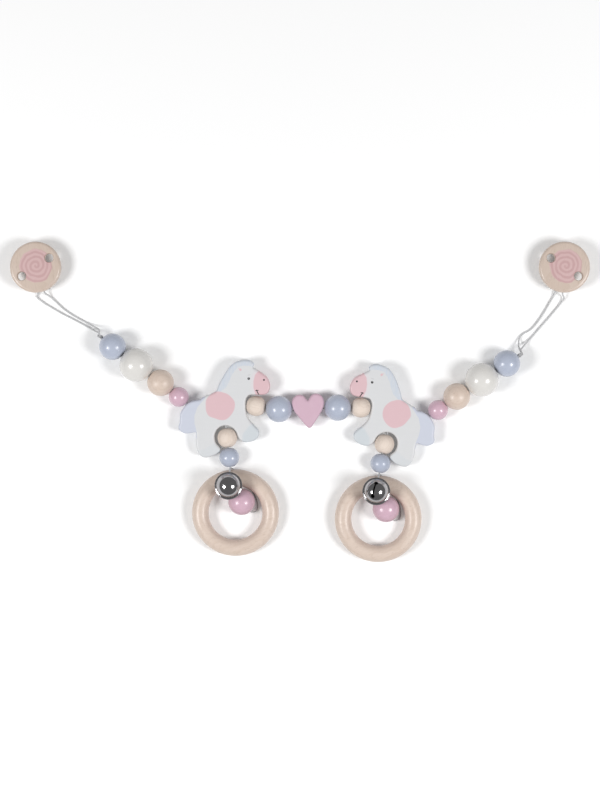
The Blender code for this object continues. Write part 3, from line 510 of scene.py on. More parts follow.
def buildYarnGroup():
    tree, given, made = newTree("plaitedYarn", "Shader", {"Map": "Vector", "Fibres": "Float"},
                                {"Strand": "Float", "Fibre": "Float"})
    parts = addNode(tree, "ShaderNodeSeparateXYZ", {"Vector": given["Map"]}).outputs
    phases = [
        compute(tree, "MULTIPLY", compute(tree, operation, parts["X"], parts["Y"]), 2 * math.pi)
        for operation in ("ADD", "SUBTRACT")
    ]
    crossing = compute(tree, "MULTIPLY", *(compute(tree, "SINE", phase) for phase in phases))
    # The strand mask is high where a strand lies on top and low in the grooves where it dips under
    # the next; the cord finish uses it for painted shade in those grooves and for the bump.
    strand = compute(tree, "MULTIPLY_ADD", crossing, 0.5, 0.5)
    over = compute(tree, "GREATER_THAN", strand, 0.5)
    lines = [
        compute(tree, "SINE", compute(tree, "MULTIPLY", phase, given["Fibres"]))
        for phase in phases
    ]
    fibre = compute(tree, "ADD", compute(tree, "MULTIPLY", lines[0], over),
                    compute(tree, "MULTIPLY", lines[1], compute(tree, "SUBTRACT", 1.0, over)))
    sendOut(tree, made, {"Strand": strand,
                         "Fibre": compute(tree, "MULTIPLY_ADD", fibre, 0.5, 0.5)})
    return tree


grainGroup = buildGrainGroup()
paintGroup = buildPaintGroup()
spotGroup = buildSpotGroup()
strokeGroup = buildStrokeGroup()
polishGroup = buildPolishGroup()
yarnGroup = buildYarnGroup()
print("shared effects built")


# Finishes

# Colours, and how much of each shared effect shows
finishLook = {
    "blueLacquer": {"color": (0.46, 0.50, 0.60), "deep": (0.385, 0.43, 0.54), "roughness": 0.26},
    "pinkLacquer": {"color": (0.65, 0.45, 0.535), "deep": (0.575, 0.365, 0.46), "roughness": 0.24},
    "whiteLacquer": {"color": (0.73, 0.715, 0.69), "deep": (0.66, 0.64, 0.61), "roughness": 0.22},
    "clearWood": {"color": (0.695, 0.58, 0.505), "deep": (0.55, 0.425, 0.34), "roughness": 0.34},
    "rawWood": {"color": (0.78, 0.68, 0.605), "deep": (0.62, 0.50, 0.41), "roughness": 0.55},
    "discWood": {"color": (0.62, 0.515, 0.445), "deep": (0.49, 0.375, 0.30), "roughness": 0.30},
    "heartPaint": {"color": (0.635, 0.45, 0.535), "deep": (0.58, 0.385, 0.475), "roughness": 0.55},
    "clipPlastic": {"color": (0.80, 0.79, 0.75), "deep": (0.70, 0.68, 0.63), "roughness": 0.38},
    # The cord's deep colour is painted shade, for the grooves between the plaited strands.
    "cordYarn": {"color": (0.60, 0.60, 0.615), "deep": (0.38, 0.385, 0.40),
                 "fibre": (0.74, 0.74, 0.75), "dust": (0.50, 0.49, 0.48), "roughness": 0.75},
    "bellChrome": {"color": (0.43, 0.42, 0.43), "roughness": 0.12, "scratchSize": 900.0,
                   "bump": 0.00003},
    "clipSteel": {"color": (0.60, 0.60, 0.60), "roughness": 0.24, "scratchSize": 1500.0,
                  "bump": 0.00004},
    "paleTable": {"color": (0.90, 0.90, 0.90), "deep": (0.86, 0.86, 0.865), "roughness": 0.85},
}
effectShare = {
    "lacquer": {"fibre": 0.30, "cloud": 0.35, "year": 0.22, "rub": 0.12, "heights": (0.7, 0.5),
                "bump": 0.00006},
    "wood": {"fibre": 0.62, "year": 0.42, "pore": 0.35, "cloud": 0.25, "rough": 0.18,
             "poreTone": 0.62, "cloudTone": 1.16, "heights": (0.8, -0.6), "bump": 0.00008},
    "metal": {"haze": 0.5, "dullTone": 0.72, "roughLow": 0.6, "roughSpan": 0.8, "scratch": 0.9,
              "heights": (0.4, -0.5)},
    "plastic": {"cloud": 0.3, "rub": 0.2, "peelSize": 1800.0, "heights": (1.0,),
                "bump": 0.00004},
    "cord": {"fibres": 5.0, "fibre": 0.35, "dust": 0.3, "dustSize": 240.0, "rough": 0.15,
             "heights": (1.0, 0.5), "bump": 0.00006},
    "heart": {"cloud": 0.7, "cloudSize": 190.0, "fibre": 0.22, "fibreTone": 0.9,
              "stretch": 14.0, "rub": 0.2, "heights": (0.6, 0.9), "bump": 0.00008},
    "table": {"cloud": 0.25, "cloudSize": 6.0},
}
horseLook = {
    "body": (0.665, 0.67, 0.68),
    "mane": (0.565, 0.615, 0.69),
    "tail": (0.57, 0.60, 0.69),
    "hoof": (0.59, 0.63, 0.66),
    "pink": (0.69, 0.475, 0.505),
    "black": (0.012, 0.010, 0.012),
    "blush": (0.75, 0.62, 0.66),
    "brow": (0.32, 0.30, 0.31),
    "glint": (0.8, 0.8, 0.8),
    "fibre": (0.45, 0.45, 0.47),
}


def mixColor(tree, share, first, second):
    node = addNode(tree, "ShaderNodeMix", data_type="RGBA")
    for index, value in ((0, share), (6, first), (7, second)):
        if isinstance(value, bpy.types.NodeSocket):
            tree.links.new(value, node.inputs[index])
        else:
            node.inputs[index].default_value = (*value, 1.0) if index else value
    return node.outputs[2]


def tint(tree, base, mask, share, color):
    return mixColor(tree, compute(tree, "MULTIPLY", mask, share), base, color)


def shaded(color, factor):
    return tuple(min(1.0, c * factor) for c in color)


def useGroup(tree, group, values):
    return addNode(tree, "ShaderNodeGroup", values, node_tree=group).outputs


def newFinish(name, color, **shaderValues):
    material = bpy.data.materials.new(name)
    material.use_nodes = True
    material.diffuse_color = (*color, 1.0)
    tree = material.node_tree
    shader = tree.nodes["Principled BSDF"]
    for key, value in shaderValues.items():
        shader.inputs[key.replace("_", " ")].default_value = value
    return material, tree, shader


def readPlace(tree, attribute):
    return addNode(tree, "ShaderNodeAttribute", attribute_name=attribute).outputs["Vector"]


def objectPlace(tree):
    return addNode(tree, "ShaderNodeTexCoord").outputs["Object"]


def coat(tree, shader, color, mask, spread, roughness):
    rough = compute(tree, "MULTIPLY_ADD", mask, spread, roughness)
    sendOut(tree, shader.inputs, {"Base Color": color, "Roughness": rough})


def addBump(tree, shader, heights, weights, distance):
    parts = [compute(tree, "MULTIPLY", *pair) for pair in zip(heights, weights)]
    total = parts[0]
    for part in parts[1:]:
        total = compute(tree, "ADD", total, part)
    bump = addNode(tree, "ShaderNodeBump", {"Height": total, "Strength": 1.0, "Distance": distance})
    sendOut(tree, shader.inputs, {"Normal": bump.outputs[0]})


def lacquerFinish(name):
    look, share = finishLook[name], effectShare["lacquer"]
    material, tree, shader = newFinish(name, look["color"], Coat_Weight=0.30, Coat_Roughness=0.15,
                                       Specular_IOR_Level=0.42)
    place = readPlace(tree, "grainPlace")
    skin = useGroup(tree, paintGroup, {"Place": place})
    grain = useGroup(tree, grainGroup, {"Place": place})
    color = tint(tree, look["color"], grain["Fibre"], share["fibre"], look["deep"])
    color = tint(tree, color, skin["Cloud"], share["cloud"], look["deep"])
    color = tint(tree, color, grain["Year"], share["year"], look["deep"])
    coat(tree, shader, color, skin["Rub"], share["rub"], look["roughness"])
    addBump(tree, shader, (skin["Peel"], grain["Fibre"]), share["heights"], share["bump"])
    return material


def woodFinish(name, gloss, attribute="grainPlace", lines=grainLook["lines"]):
    look, share = finishLook[name], effectShare["wood"]
    material, tree, shader = newFinish(name, look["color"], Coat_Weight=gloss, Coat_Roughness=0.22)
    place = readPlace(tree, attribute)
    grain = useGroup(tree, grainGroup, {"Place": place, "Lines": lines})
    skin = useGroup(tree, paintGroup, {"Place": place})
    color = tint(tree, look["color"], grain["Fibre"], share["fibre"], look["deep"])
    color = tint(tree, color, grain["Year"], share["year"], look["deep"])
    color = tint(tree, color, grain["Pore"], share["pore"],
                 shaded(look["deep"], share["poreTone"]))
    color = tint(tree, color, skin["Cloud"], share["cloud"],
                 shaded(look["color"], share["cloudTone"]))
    coat(tree, shader, color, grain["Fibre"], share["rough"], look["roughness"])
    addBump(tree, shader, (grain["Fibre"], grain["Pore"]), share["heights"], share["bump"])
    return material, tree, shader, color


def metalFinish(name):
    look, share = finishLook[name], effectShare["metal"]
    material, tree, shader = newFinish(name, look["color"], Metallic=1.0)
    marks = useGroup(tree, polishGroup, {"Place": objectPlace(tree),
                                         "Scratch Size": look["scratchSize"]})
    color = tint(tree, look["color"], marks["Haze"], share["haze"],
                 shaded(look["color"], share["dullTone"]))
    rough = compute(tree, "MULTIPLY_ADD", marks["Haze"], look["roughness"] * share["roughSpan"],
                    look["roughness"] * share["roughLow"])
    coat(tree, shader, color, marks["Scratch"], look["roughness"] * share["scratch"], rough)
    addBump(tree, shader, (marks["Haze"], marks["Scratch"]), share["heights"], look["bump"])
    return material


def plasticFinish(name):
    look, share = finishLook[name], effectShare["plastic"]
    material, tree, shader = newFinish(name, look["color"], Subsurface_Weight=0.12,
                                       Subsurface_Scale=0.0012)
    skin = useGroup(tree, paintGroup, {"Place": objectPlace(tree), "Peel Size": share["peelSize"]})
    color = tint(tree, look["color"], skin["Cloud"], share["cloud"], look["deep"])
    coat(tree, shader, color, skin["Rub"], share["rub"], look["roughness"])
    addBump(tree, shader, (skin["Peel"],), share["heights"], share["bump"])
    return material


def cordFinish(name):
    look, share = finishLook[name], effectShare["cord"]
    material, tree, shader = newFinish(name, look["color"], Sheen_Weight=0.35,
                                       Sheen_Roughness=0.5, Specular_IOR_Level=0.3)
    plait = addNode(tree, "ShaderNodeUVMap", uv_map="plaitMap").outputs[0]
    yarn = useGroup(tree, yarnGroup, {"Map": plait, "Fibres": share["fibres"]})
    skin = useGroup(tree, paintGroup, {"Place": objectPlace(tree), "Cloud Size": share["dustSize"]})
    # Painted shade: the cord turns to its deep colour in the grooves between strands, by the strand
    # mask.
    color = mixColor(tree, yarn["Strand"], look["deep"], look["color"])
    color = tint(tree, color, yarn["Fibre"], share["fibre"], look["fibre"])
    color = tint(tree, color, skin["Cloud"], share["dust"], look["dust"])
    coat(tree, shader, color, yarn["Fibre"], share["rough"], look["roughness"])
    addBump(tree, shader, (yarn["Strand"], yarn["Fibre"]), share["heights"], share["bump"])
    return material


def heartFinish(name):
    look, share = finishLook[name], effectShare["heart"]
    material, tree, shader = newFinish(name, look["color"], Specular_IOR_Level=0.35)
    place = readPlace(tree, "grainPlace")
    skin = useGroup(tree, paintGroup, {"Place": place, "Cloud Size": share["cloudSize"]})
    grain = useGroup(tree, grainGroup, {"Place": place, "Stretch": share["stretch"]})
    color = tint(tree, look["color"], skin["Cloud"], share["cloud"], look["deep"])
    color = tint(tree, color, grain["Fibre"], share["fibre"],
                 shaded(look["deep"], share["fibreTone"]))
    coat(tree, shader, color, skin["Rub"], share["rub"], look["roughness"])
    addBump(tree, shader, (skin["Peel"], grain["Fibre"]), share["heights"], share["bump"])
    return material


# Places in millimetres from the front end of the bore; spots have a radius, strokes a half width
horseMarks = {
    "saddle": ((-19.6, -1.2), 10.5),
    "eye": ((1.42, 19.5), 0.95),
    "eyeGlint": ((1.15, 19.85), 0.22),
    "nostril": ((12.8, 18.7), 0.72),
    "brow": ((0.6, 22.0), (2.6, 22.5), 0.16),
    "mouth": [((7.4, 10.9), (8.3, 9.2), 0.38), ((8.3, 9.2), (9.6, 6.7), 0.36),
              ((6.8, 10.6), (8.7, 10.9), 0.26)],
    "ear": [(-6.6, 27.3), (-3.7, 26.6), (-4.7, 24.3)],
}
# How softly each painted area ends, in millimetres, and how the brush wandered
horseBrush = {
    "maneEdge": 0.45, "tailEdge": 0.35, "hoofEdge": 1.1, "muzzleEdge": 0.3, "earEdge": 0.12,
    "saddle": 0.35, "spot": 0.08, "rub": 0.16,
    "waverSize": 75.0, "waver": 4.0,
    "hairSize": (900.0, 150.0, 0.0), "hairs": (0.40, 0.62, 0.98, 0.55),
    "hindHoof": (-14.0, -4.0, 0.4, 1.0), "blush": (-3.5, 0.0, 0.0, 0.35),
    "cloudSize": 130.0, "cloud": 0.25, "cloudTone": 0.93, "stretch": 16.0, "fibre": 0.10,
    "brow": 0.45, "roughness": 0.40, "roughRub": 0.18, "heights": (0.6, 1.0, 0.8),
    "bump": 0.00008,
}


def horseFinish(name):
    brush = horseBrush
    body = horseLook["body"]
    material, tree, shader = newFinish(name, body, Coat_Weight=0.12, Coat_Roughness=0.3,
                                       Specular_IOR_Level=0.4)
    place = readPlace(tree, "horsePlace")
    flat = vectorCompute(tree, "MULTIPLY", place, (1.0, 1.0, 0.0))
    wood = vectorCompute(tree, "SCALE", place, scale=0.001)
    grain = useGroup(tree, grainGroup, {"Place": wood, "Stretch": brush["stretch"]})
    skin = useGroup(tree, paintGroup, {"Place": wood, "Cloud Size": brush["cloudSize"]})

    def depth(edge):
        return addNode(tree, "ShaderNodeAttribute", attribute_name=edge).outputs["Fac"]

    def area(edge):
        brushed = compute(tree, "MULTIPLY_ADD", skin["Rub"], brush["rub"], depth(edge))
        return remap(tree, brushed, -brush[edge], brush[edge], smooth=True)

    def spot(mark, where=flat, blur=brush["spot"]):
        centre, radius = horseMarks[mark]
        return useGroup(tree, spotGroup, {
            "Place": where, "Centre": (*centre, 0.0), "Radius": radius, "Blur": blur,
        })["Mask"]

    def stroke(start, end, half):
        return useGroup(tree, strokeGroup, {
            "Place": flat, "Start": (*start, 0.0), "End": (*end, 0.0), "Half Width": half,
            "Blur": brush["spot"],
        })["Mask"]

    color = tint(tree, body, skin["Cloud"], brush["cloud"], shaded(body, brush["cloudTone"]))
    blush = remap(tree, depth("muzzleEdge"), *brush["blush"], smooth=True)
    color = mixColor(tree, blush, color, horseLook["blush"])
    waver = noise(tree, wood, brush["waverSize"], 1.0)["Color"]
    drawn = vectorCompute(tree, "MULTIPLY_ADD", waver, (brush["waver"], brush["waver"], 0.0),
                          (-brush["waver"] / 2, -brush["waver"] / 2, 0.0))
    uneven = vectorCompute(tree, "ADD", flat, drawn)
    hair = noise(tree, vectorCompute(tree, "MULTIPLY", wood, brush["hairSize"]), 1.0, 2.0)["Fac"]
    hairs = remap(tree, hair, *brush["hairs"])
    forward = addNode(tree, "ShaderNodeSeparateXYZ", {"Vector": flat}).outputs["X"]
    thin = remap(tree, forward, *brush["hindHoof"])
    for mask, tone in ((compute(tree, "MULTIPLY", area("maneEdge"), hairs), "mane"),
                       (area("tailEdge"), "tail"),
                       (compute(tree, "MULTIPLY", area("hoofEdge"), thin), "hoof"),
                       (area("muzzleEdge"), "pink"),
                       (spot("saddle", uneven, brush["saddle"]), "pink"),
                       (area("earEdge"), "pink")):
        color = mixColor(tree, mask, color, horseLook[tone])
    dark = spot("eye")
    for part in [stroke(*m) for m in horseMarks["mouth"]] + [spot("nostril")]:
        dark = compute(tree, "MAXIMUM", dark, part)
    color = tint(tree, color, stroke(*horseMarks["brow"]), brush["brow"], horseLook["brow"])
    color = mixColor(tree, dark, color, horseLook["black"])
    color = mixColor(tree, spot("eyeGlint"), color, horseLook["glint"])
    color = tint(tree, color, grain["Fibre"], brush["fibre"], horseLook["fibre"])
    coat(tree, shader, color, skin["Rub"], brush["roughRub"], brush["roughness"])
    addBump(tree, shader, (skin["Peel"], grain["Fibre"], dark), brush["heights"], brush["bump"])
    return material


discLook = {
    "gloss": 0.5, "lines": 700.0,
    "pink": (0.535, 0.325, 0.335),
    "palePink": (0.62, 0.415, 0.42),
    "centre": (-0.0009, 0.0007),
    "pinkRadius": 0.0126, "pinkEdge": (0.0006, -0.0002), "cover": 0.86,
    "turnPitch": 0.0034, "line": (0.14, 0.34),
    "waverSize": 130.0, "waver": 0.0030, "waverMiddle": 0.0011,
    "paintedHeight": (0.0057, 0.0060),
}


# A spiral of two pinks on the top face, inside a ragged circle
def discFinish(name):
    look = discLook
    material, tree, shader, wood = woodFinish(name, look["gloss"], "discPlace", look["lines"])
    place = readPlace(tree, "discPlace")
    parts = addNode(tree, "ShaderNodeSeparateXYZ", {"Vector": place}).outputs
    sideX = compute(tree, "SUBTRACT", parts["X"], look["centre"][0])
    sideY = compute(tree, "SUBTRACT", parts["Y"], look["centre"][1])
    flat = addNode(tree, "ShaderNodeCombineXYZ", {"X": sideX, "Y": sideY}).outputs[0]
    reach = vectorCompute(tree, "LENGTH", flat, outlet=1)
    waver = noise(tree, place, look["waverSize"], 2.0)["Fac"]
    ragged = compute(tree, "MULTIPLY_ADD", waver, look["waver"],
                     compute(tree, "SUBTRACT", reach, look["waverMiddle"]))
    turn = compute(tree, "DIVIDE", compute(tree, "ARCTAN2", sideY, sideX), 2 * math.pi)
    wound = compute(tree, "SUBTRACT", compute(tree, "DIVIDE", ragged, look["turnPitch"]), turn)
    # Whole turns are added so that the share of a turn is never of a negative number
    share = compute(tree, "FRACT", compute(tree, "ADD", wound, 20.0))
    wave = compute(tree, "ABSOLUTE", compute(tree, "SUBTRACT", share, 0.5))
    line = remap(tree, wave, *look["line"], smooth=True)
    pinks = mixColor(tree, line, look["pink"], look["palePink"])
    inner, outer = (look["pinkRadius"] + edge for edge in look["pinkEdge"])
    edge = remap(tree, ragged, inner, outer, 0.0, look["cover"], smooth=True)
    mask = compute(tree, "MULTIPLY", edge, remap(tree, parts["Z"], *look["paintedHeight"]))
    sendOut(tree, shader.inputs, {"Base Color": mixColor(tree, mask, wood, pinks)})
    return material


finishes = {
    "blue_lacquer": lacquerFinish("blueLacquer"),
    "pink_lacquer": lacquerFinish("pinkLacquer"),
    "white_lacquer": lacquerFinish("whiteLacquer"),
    "clear_wood": woodFinish("clearWood", 0.18)[0],
    "raw_wood": woodFinish("rawWood", 0.0)[0],
    "heart_paint": heartFinish("heartPaint"),
    "horse_paint": horseFinish("horsePaint"),
    "disc_wood": discFinish("discWood"),
    "bell_metal": metalFinish("bellChrome"),
    "clip_steel": metalFinish("clipSteel"),
    "clip_plastic": plasticFinish("clipPlastic"),
    "cord": cordFinish("cordYarn"),
}
print("finishes built:", len(finishes))


# Turned pieces: a profile of places along the axis, each with a radius, spun about X

def buildTurnedTree():
    tree, given, made = newTree("turnedPiece", "Geometry", {
        "Profile": "Geometry", "Segments": "Int", "Finish": "Material",
    }, {"Piece": "Geometry"})
    size = addNode(tree, "GeometryNodeAttributeDomainSize", {"Geometry": given["Profile"]})
    columns = compute(tree, "ADD", given["Segments"], 1.0)
    grid = addNode(tree, "GeometryNodeMeshGrid",
                   {"Vertices X": size.outputs["Point Count"], "Vertices Y": columns})
    index = addNode(tree, "GeometryNodeInputIndex").outputs[0]
    column = compute(tree, "MODULO", index, columns)
    row = compute(tree, "DIVIDE", compute(tree, "SUBTRACT", index, column), columns)
    share = compute(tree, "DIVIDE", column, given["Segments"])
    turn = compute(tree, "MULTIPLY", share, 2 * math.pi)
    spot = addNode(tree, "GeometryNodeSampleIndex", {
        "Geometry": given["Profile"],
        "Value": addNode(tree, "GeometryNodeInputPosition").outputs[0],
        "Index": compute(tree, "ROUND", row),
    }, data_type="FLOAT_VECTOR", domain="POINT")
    parts = addNode(tree, "ShaderNodeSeparateXYZ", {"Vector": spot.outputs[0]}).outputs
    place = addNode(tree, "ShaderNodeCombineXYZ", {
        "X": parts["X"],
        "Y": compute(tree, "MULTIPLY", parts["Y"], compute(tree, "COSINE", turn)),
        "Z": compute(tree, "MULTIPLY", parts["Y"], compute(tree, "SINE", turn)),
    })
    spun = addNode(tree, "GeometryNodeSetPosition",
                   {"Geometry": grid.outputs[0], "Position": place.outputs[0]})
    joined = joinPoints(tree, spun.outputs[0], 0.000004)
    endShape(tree, joined, given["Finish"], made["Piece"])
    return tree


turnedTree = buildTurnedTree()


def turnedMesh(name, profile, finish, segments=64):
    line = [(along, radius, 0) for along, radius in profile]
    mesh = drawnMesh(name, [line], turnedTree, {"Segments": segments, "Finish": finish})
    for layer in [a.name for a in mesh.uv_layers]:
        mesh.uv_layers.remove(mesh.uv_layers[layer])
    return mesh


def arc(centreAlong, centreRadius, radius, startDeg, endDeg, steps):
    found = []
    for k in range(steps + 1):
        turn = math.radians(startDeg + (endDeg - startDeg) * k / steps)
        found.append((centreAlong + radius * math.cos(turn),
                      centreRadius + radius * math.sin(turn)))
    return found


def frameAt(origin, xAxis, zHint):
    x = Vector(xAxis).normalized()
    y = Vector(zHint).cross(x).normalized()
    turn = Matrix((x, y, x.cross(y))).transposed().to_4x4()
    return Matrix.Translation(Vector(origin)) @ turn


def jointAt(body):
    return Vector(joints[body]["pos_m"])


def jointAxis(body):
    return Vector(joints[body]["axis"])


def nodePoints(node):
    return [v.co.copy() for v in cadNodes[node].data.vertices]


def middleOf(node, place):
    back = place.inverted()
    local = [back @ p for p in nodePoints(node)]
    low = Vector([min(p[k] for p in local) for k in range(3)])
    high = Vector([max(p[k] for p in local) for k in range(3)])
    return place @ ((low + high) / 2)


# The frame in the middle of a node, with X along an axis
def placeOn(node, axis, zHint=up):
    place = frameAt((0, 0, 0), axis, zHint)
    return Matrix.Translation(middleOf(node, place)) @ place


def storePlace(mesh, name, turn=None, scale=1.0, shift=(0, 0, 0)):
    layer = mesh.attributes.new(name, "FLOAT_VECTOR", "POINT")
    shift = Vector(shift)
    for vertex, item in zip(mesh.vertices, layer.data):
        spot = vertex.co if turn is None else turn @ vertex.co
        item.vector = spot * scale + shift


# Each turned piece shows another part of the plank it was cut from
plankShift = ((1.0, 0.4), (1.7, 0.012), (2.9, 0.012))


def grainShift(node):
    seed = sum(ord(c) * (k + 3) for k, c in enumerate(node))
    return Vector([math.sin(seed * turns) * reach for turns, reach in plankShift])


def cutMesh(mesh, cutters, finish):
    piece = linkObject(mesh.name + "Uncut", mesh)
    tools = []
    for k, cutter in enumerate(cutters):
        tool = linkObject(f"{mesh.name}Cutter{k}", cutter)
        tools.append(tool)
        modifier = piece.modifiers.new("cut", "BOOLEAN")
        modifier.operation = "DIFFERENCE"
        modifier.solver = "EXACT"
        modifier.object = tool
    name = mesh.name
    made = plainMesh(piece, name)
    for tool in tools:
        bpy.data.objects.remove(tool)
    made.materials.clear()
    made.materials.append(finish)
    made.polygons.foreach_set("material_index", [0] * len(made.polygons))
    return made


def shadeMesh(mesh, angle=38):
    mesh.shade_smooth()
    mesh.set_sharp_from_angle(angle=math.radians(angle))


def rodMesh(name, low, high, radius, segments=32, flare=0.0):
    profile = [(low, 0), (low, radius), (high - flare, radius), (high, radius + flare), (high, 0)]
    return turnedMesh(name, profile, None, segments)


slotOf = {s["node"]: s["material_slot"] for s in frame["record"]["subparts"]}


# A round-edged rod or disc, from low to high
def roundedProfile(low, high, radius, edge, steps):
    first = arc(low + edge, radius - edge, edge, 180, 90, steps)
    return [(low, 0)] + first + arc(high - edge, radius - edge, edge, 90, 0, steps) + [(high, 0)]


def finishPiece(node, mesh, place, angle=38):
    mesh.transform(place)
    shadeMesh(mesh, angle)
    piece = linkObject(camel(node) + "Shown", mesh)
    return settle(piece, node)


# Cords between the pieces, the dangling cords and the ties of the rings

def cordEnds(node, along):
    points = nodePoints(node)
    reach = [p.dot(along) for p in points]
    low, high = min(reach), max(reach)
    start = [p for p, r in zip(points, reach) if r < low + 1e-6]
    end = [p for p, r in zip(points, reach) if r > high - 1e-6]
    return sum(start, Vector()) / len(start), sum(end, Vector()) / len(end)


# An overhand knot: the cord passes through its own loop
def knotRoute(centre, along, across, radius):
    lift = along.cross(across)
    steps = cordLook["knotSteps"]
    found = []
    for k in range(steps + 1):
        t = math.radians(cordLook["knotStartDeg"] + cordLook["knotTurnDeg"] * k / steps)
        flat = (math.sin(t) + 2 * math.sin(2 * t)) / 3 * radius
        side = (math.cos(t) - 2 * math.cos(2 * t)) / 3 * radius
        deep = math.sin(3 * t) * cordLook["knotDepth"]
        found.append(centre + lift * flat + across * side - along * deep)
    return found


def makeCord(node, routes):
    settle(plaitedCord(camel(node) + "Shown", routes, finishes["cord"]), node)


def makeCords():
    for side in sides:
        for name in ("blue_inner", "chest", "pink", "natural", "white", "blue_outer"):
            node = f"{side}_{name}_cord"
            along = jointAxis(f"{side}_{name}_bead")
            start, end = cordEnds(node, along)
            routes = [[start, end]]
            if name == "blue_outer":
                across = up.cross(along).normalized()
                routes[0][1] = end - along * (cordLook["knotInset"] * 2 / 3)
                knotRadius = (cordLook["knotDiameter"] - cordLook["diameter"]) / 2
                centre = end - along * cordLook["knotInset"]
                routes.append(knotRoute(centre, along, across, knotRadius))
            makeCord(node, routes)
        makeHorseCord(side)
        makeDangleCords(side)
    makeCord("heart_cord", [list(cordEnds("heart_cord", Vector((1, 0, 0))))])
    print("cords plaited")


# The horse's frame: at the front end of its bore, X forward and Y up the horse
def horsePlace(side):
    chest = jointAt(side + "_horse")
    forward = (chest - jointAt(side + "_pink_cord")).normalized()
    across = up.cross(forward) if side == "left" else forward.cross(up)
    tilt = math.radians(horseShape["tiltDeg"])
    upward = across * math.cos(tilt) + up * math.sin(tilt)
    turn = Matrix((forward, upward, forward.cross(upward))).transposed().to_4x4()
    return Matrix.Translation(chest - up * horseShape["cordRise"]) @ turn


# The horse's frame, the mouth of the bore under the belly and where it meets the long one
def bellyBore(side):
    place = horsePlace(side)
    mouth = place.inverted() @ jointAt(side + "_dangle")
    mouth.z = 0
    lean = place.to_3x3().inverted() @ direction(dangleLook["downDeg"][side])
    lean = Vector((lean.x, lean.y, 0)).normalized()
    return place, mouth, mouth + lean * (mouth.y / -lean.y)


# Down from the belly: the lower end of the free cord, the mouth of the blue bead and the
# middle of its bore, with their heights
dangleLook = {
    "downDeg": {"left": -83.5, "right": -105.5},
    "freeReach": 0.01464, "freeHeight": 0.0079,
    "mouthReach": 0.00707, "mouthHeight": 0.00825, "middleReach": 0.0050,
}
horseShape = {
    "length": 0.070,
    "height": 0.074,
    "thickness": 0.010,
    "edgeRound": 0.0017,
    "gridStep": 0.00105,
    "boreLength": 0.0446,
    "boreOverrun": 0.004,
    "mouthRelief": 0.00065,
    "tiltDeg": 3.16,
    "cordRise": 0.00065,
    "outline": [
        (0.083, 0.410), (0.076, 0.378), (0.104, 0.358), (0.159, 0.326), (0.225, 0.278),
        (0.257, 0.205), (0.251, 0.149), (0.221, 0.112), (0.164, 0.101), (0.095, 0.102),
        (0.034, 0.094), (0.004, 0.050), (0.000, 0.000), (0.007, -0.080), (0.041, -0.152),
        (0.094, -0.208), (0.138, -0.252), (0.151, -0.292), (0.134, -0.336), (0.085, -0.368),
        (0.015, -0.381), (-0.041, -0.366), (-0.074, -0.328), (-0.094, -0.280), (-0.128, -0.243),
        (-0.170, -0.222), (-0.215, -0.216), (-0.262, -0.228), (-0.303, -0.262), (-0.325, -0.320),
        (-0.312, -0.390), (-0.268, -0.440), (-0.262, -0.478), (-0.330, -0.520), (-0.404, -0.541),
        (-0.459, -0.533), (-0.500, -0.485), (-0.521, -0.414), (-0.521, -0.338), (-0.527, -0.290),
        (-0.585, -0.299), (-0.648, -0.299), (-0.698, -0.272), (-0.712, -0.236), (-0.698, -0.186),
        (-0.694, -0.105), (-0.660, -0.042), (-0.610, 0.006), (-0.548, 0.030), (-0.486, 0.040),
        (-0.461, 0.062), (-0.409, 0.086), (-0.355, 0.108), (-0.312, 0.135), (-0.287, 0.200),
        (-0.246, 0.276), (-0.203, 0.345), (-0.140, 0.412), (-0.071, 0.440), (-0.006, 0.450),
        (0.052, 0.440),
    ],
}


def makeHorseCord(side):
    start, end = jointAt(side + "_horse"), jointAt(side + "_pink_cord")
    along = (end - start).normalized()
    inset = along * (cordLook["endGap"] / 2)
    place, _, join = bellyBore(side)
    root = start + along * ((place @ join) - start).dot(along)
    hang = direction(dangleLook["downDeg"][side])
    foot = jointAt(side + "_dangle") - hang * (cordLook["endGap"] / 2)
    makeCord(side + "_horse_cord", [[start + inset, end - inset], [root, foot]])


def makeDangleCords(side):
    hang = direction(dangleLook["downDeg"][side])
    split = Vector(splitPoint[side])
    axis = jointAxis(side + "_dangle_blue_bead")
    top = jointAt(side + "_dangle")
    between = top + hang * dangleLook["freeReach"]
    between.z = dangleLook["freeHeight"]
    start = top + (between - top).normalized() * cordLook["endGap"]
    centre = split - axis * dangleLook["middleReach"]
    entry = centre - axis * dangleLook["mouthReach"]
    entry.z = dangleLook["mouthHeight"]
    makeCord(side + "_dangle_cord",
             [[start, between, entry, centre, split - axis * cordLook["endGap"]]])

    down = direction(loopDownDeg[side])
    across = up.cross(down)
    points = []
    for sideways, reach, height in ringLoopRoute:
        point = split + down * (reach / 1000) + across * (sideways / 1000)
        point.z = height / 1000
        points.append(point)
    makeCord(side + "_ring_loop", [smoothRoute(points)])


def makeEndLoops():
    for side in sides:
        along = jointAxis(side + "_blue_outer_bead")
        inner = cordEnds(side + "_blue_outer_cord", along)[1] - along * strandStart["depth"]
        across = up.cross(along).normalized() * strandStart["spread"]
        route = [Vector(p) / 1000 for p in endLoopRoutes[side]]
        points = smoothRoute([inner - across] + route + [inner + across])
        loop = plaitedCord(side + "EndLoopShown", [points], finishes["cord"])
        settle(loop, side + "_end_loop")
        print(side, "end loop", round(routeLength(points) * 1000, 1), "mm")


makeEndLoops()
makeCords()


# Beads

beadLook = {
    "diameters": {"chest": 0.015, "pink": 0.015, "dangle_natural": 0.015, "dangle_blue": 0.015,
                  "blue_inner": 0.020, "natural": 0.020, "blue_outer": 0.020, "ring": 0.020,
                  "white": 0.025},
    "bore": 0.0032,
    "faceRim": 0.0009,
    "edgeRound": 0.00045,
    "barrelPower": {"chest": 0.87, "dangle_natural": 0.87},
    "relief": {"dangle_natural": 0.00022, "blue_inner": 0.00012},
    "usualRelief": 0.00006,
    "segments": 72,
    "steps": 34,
}


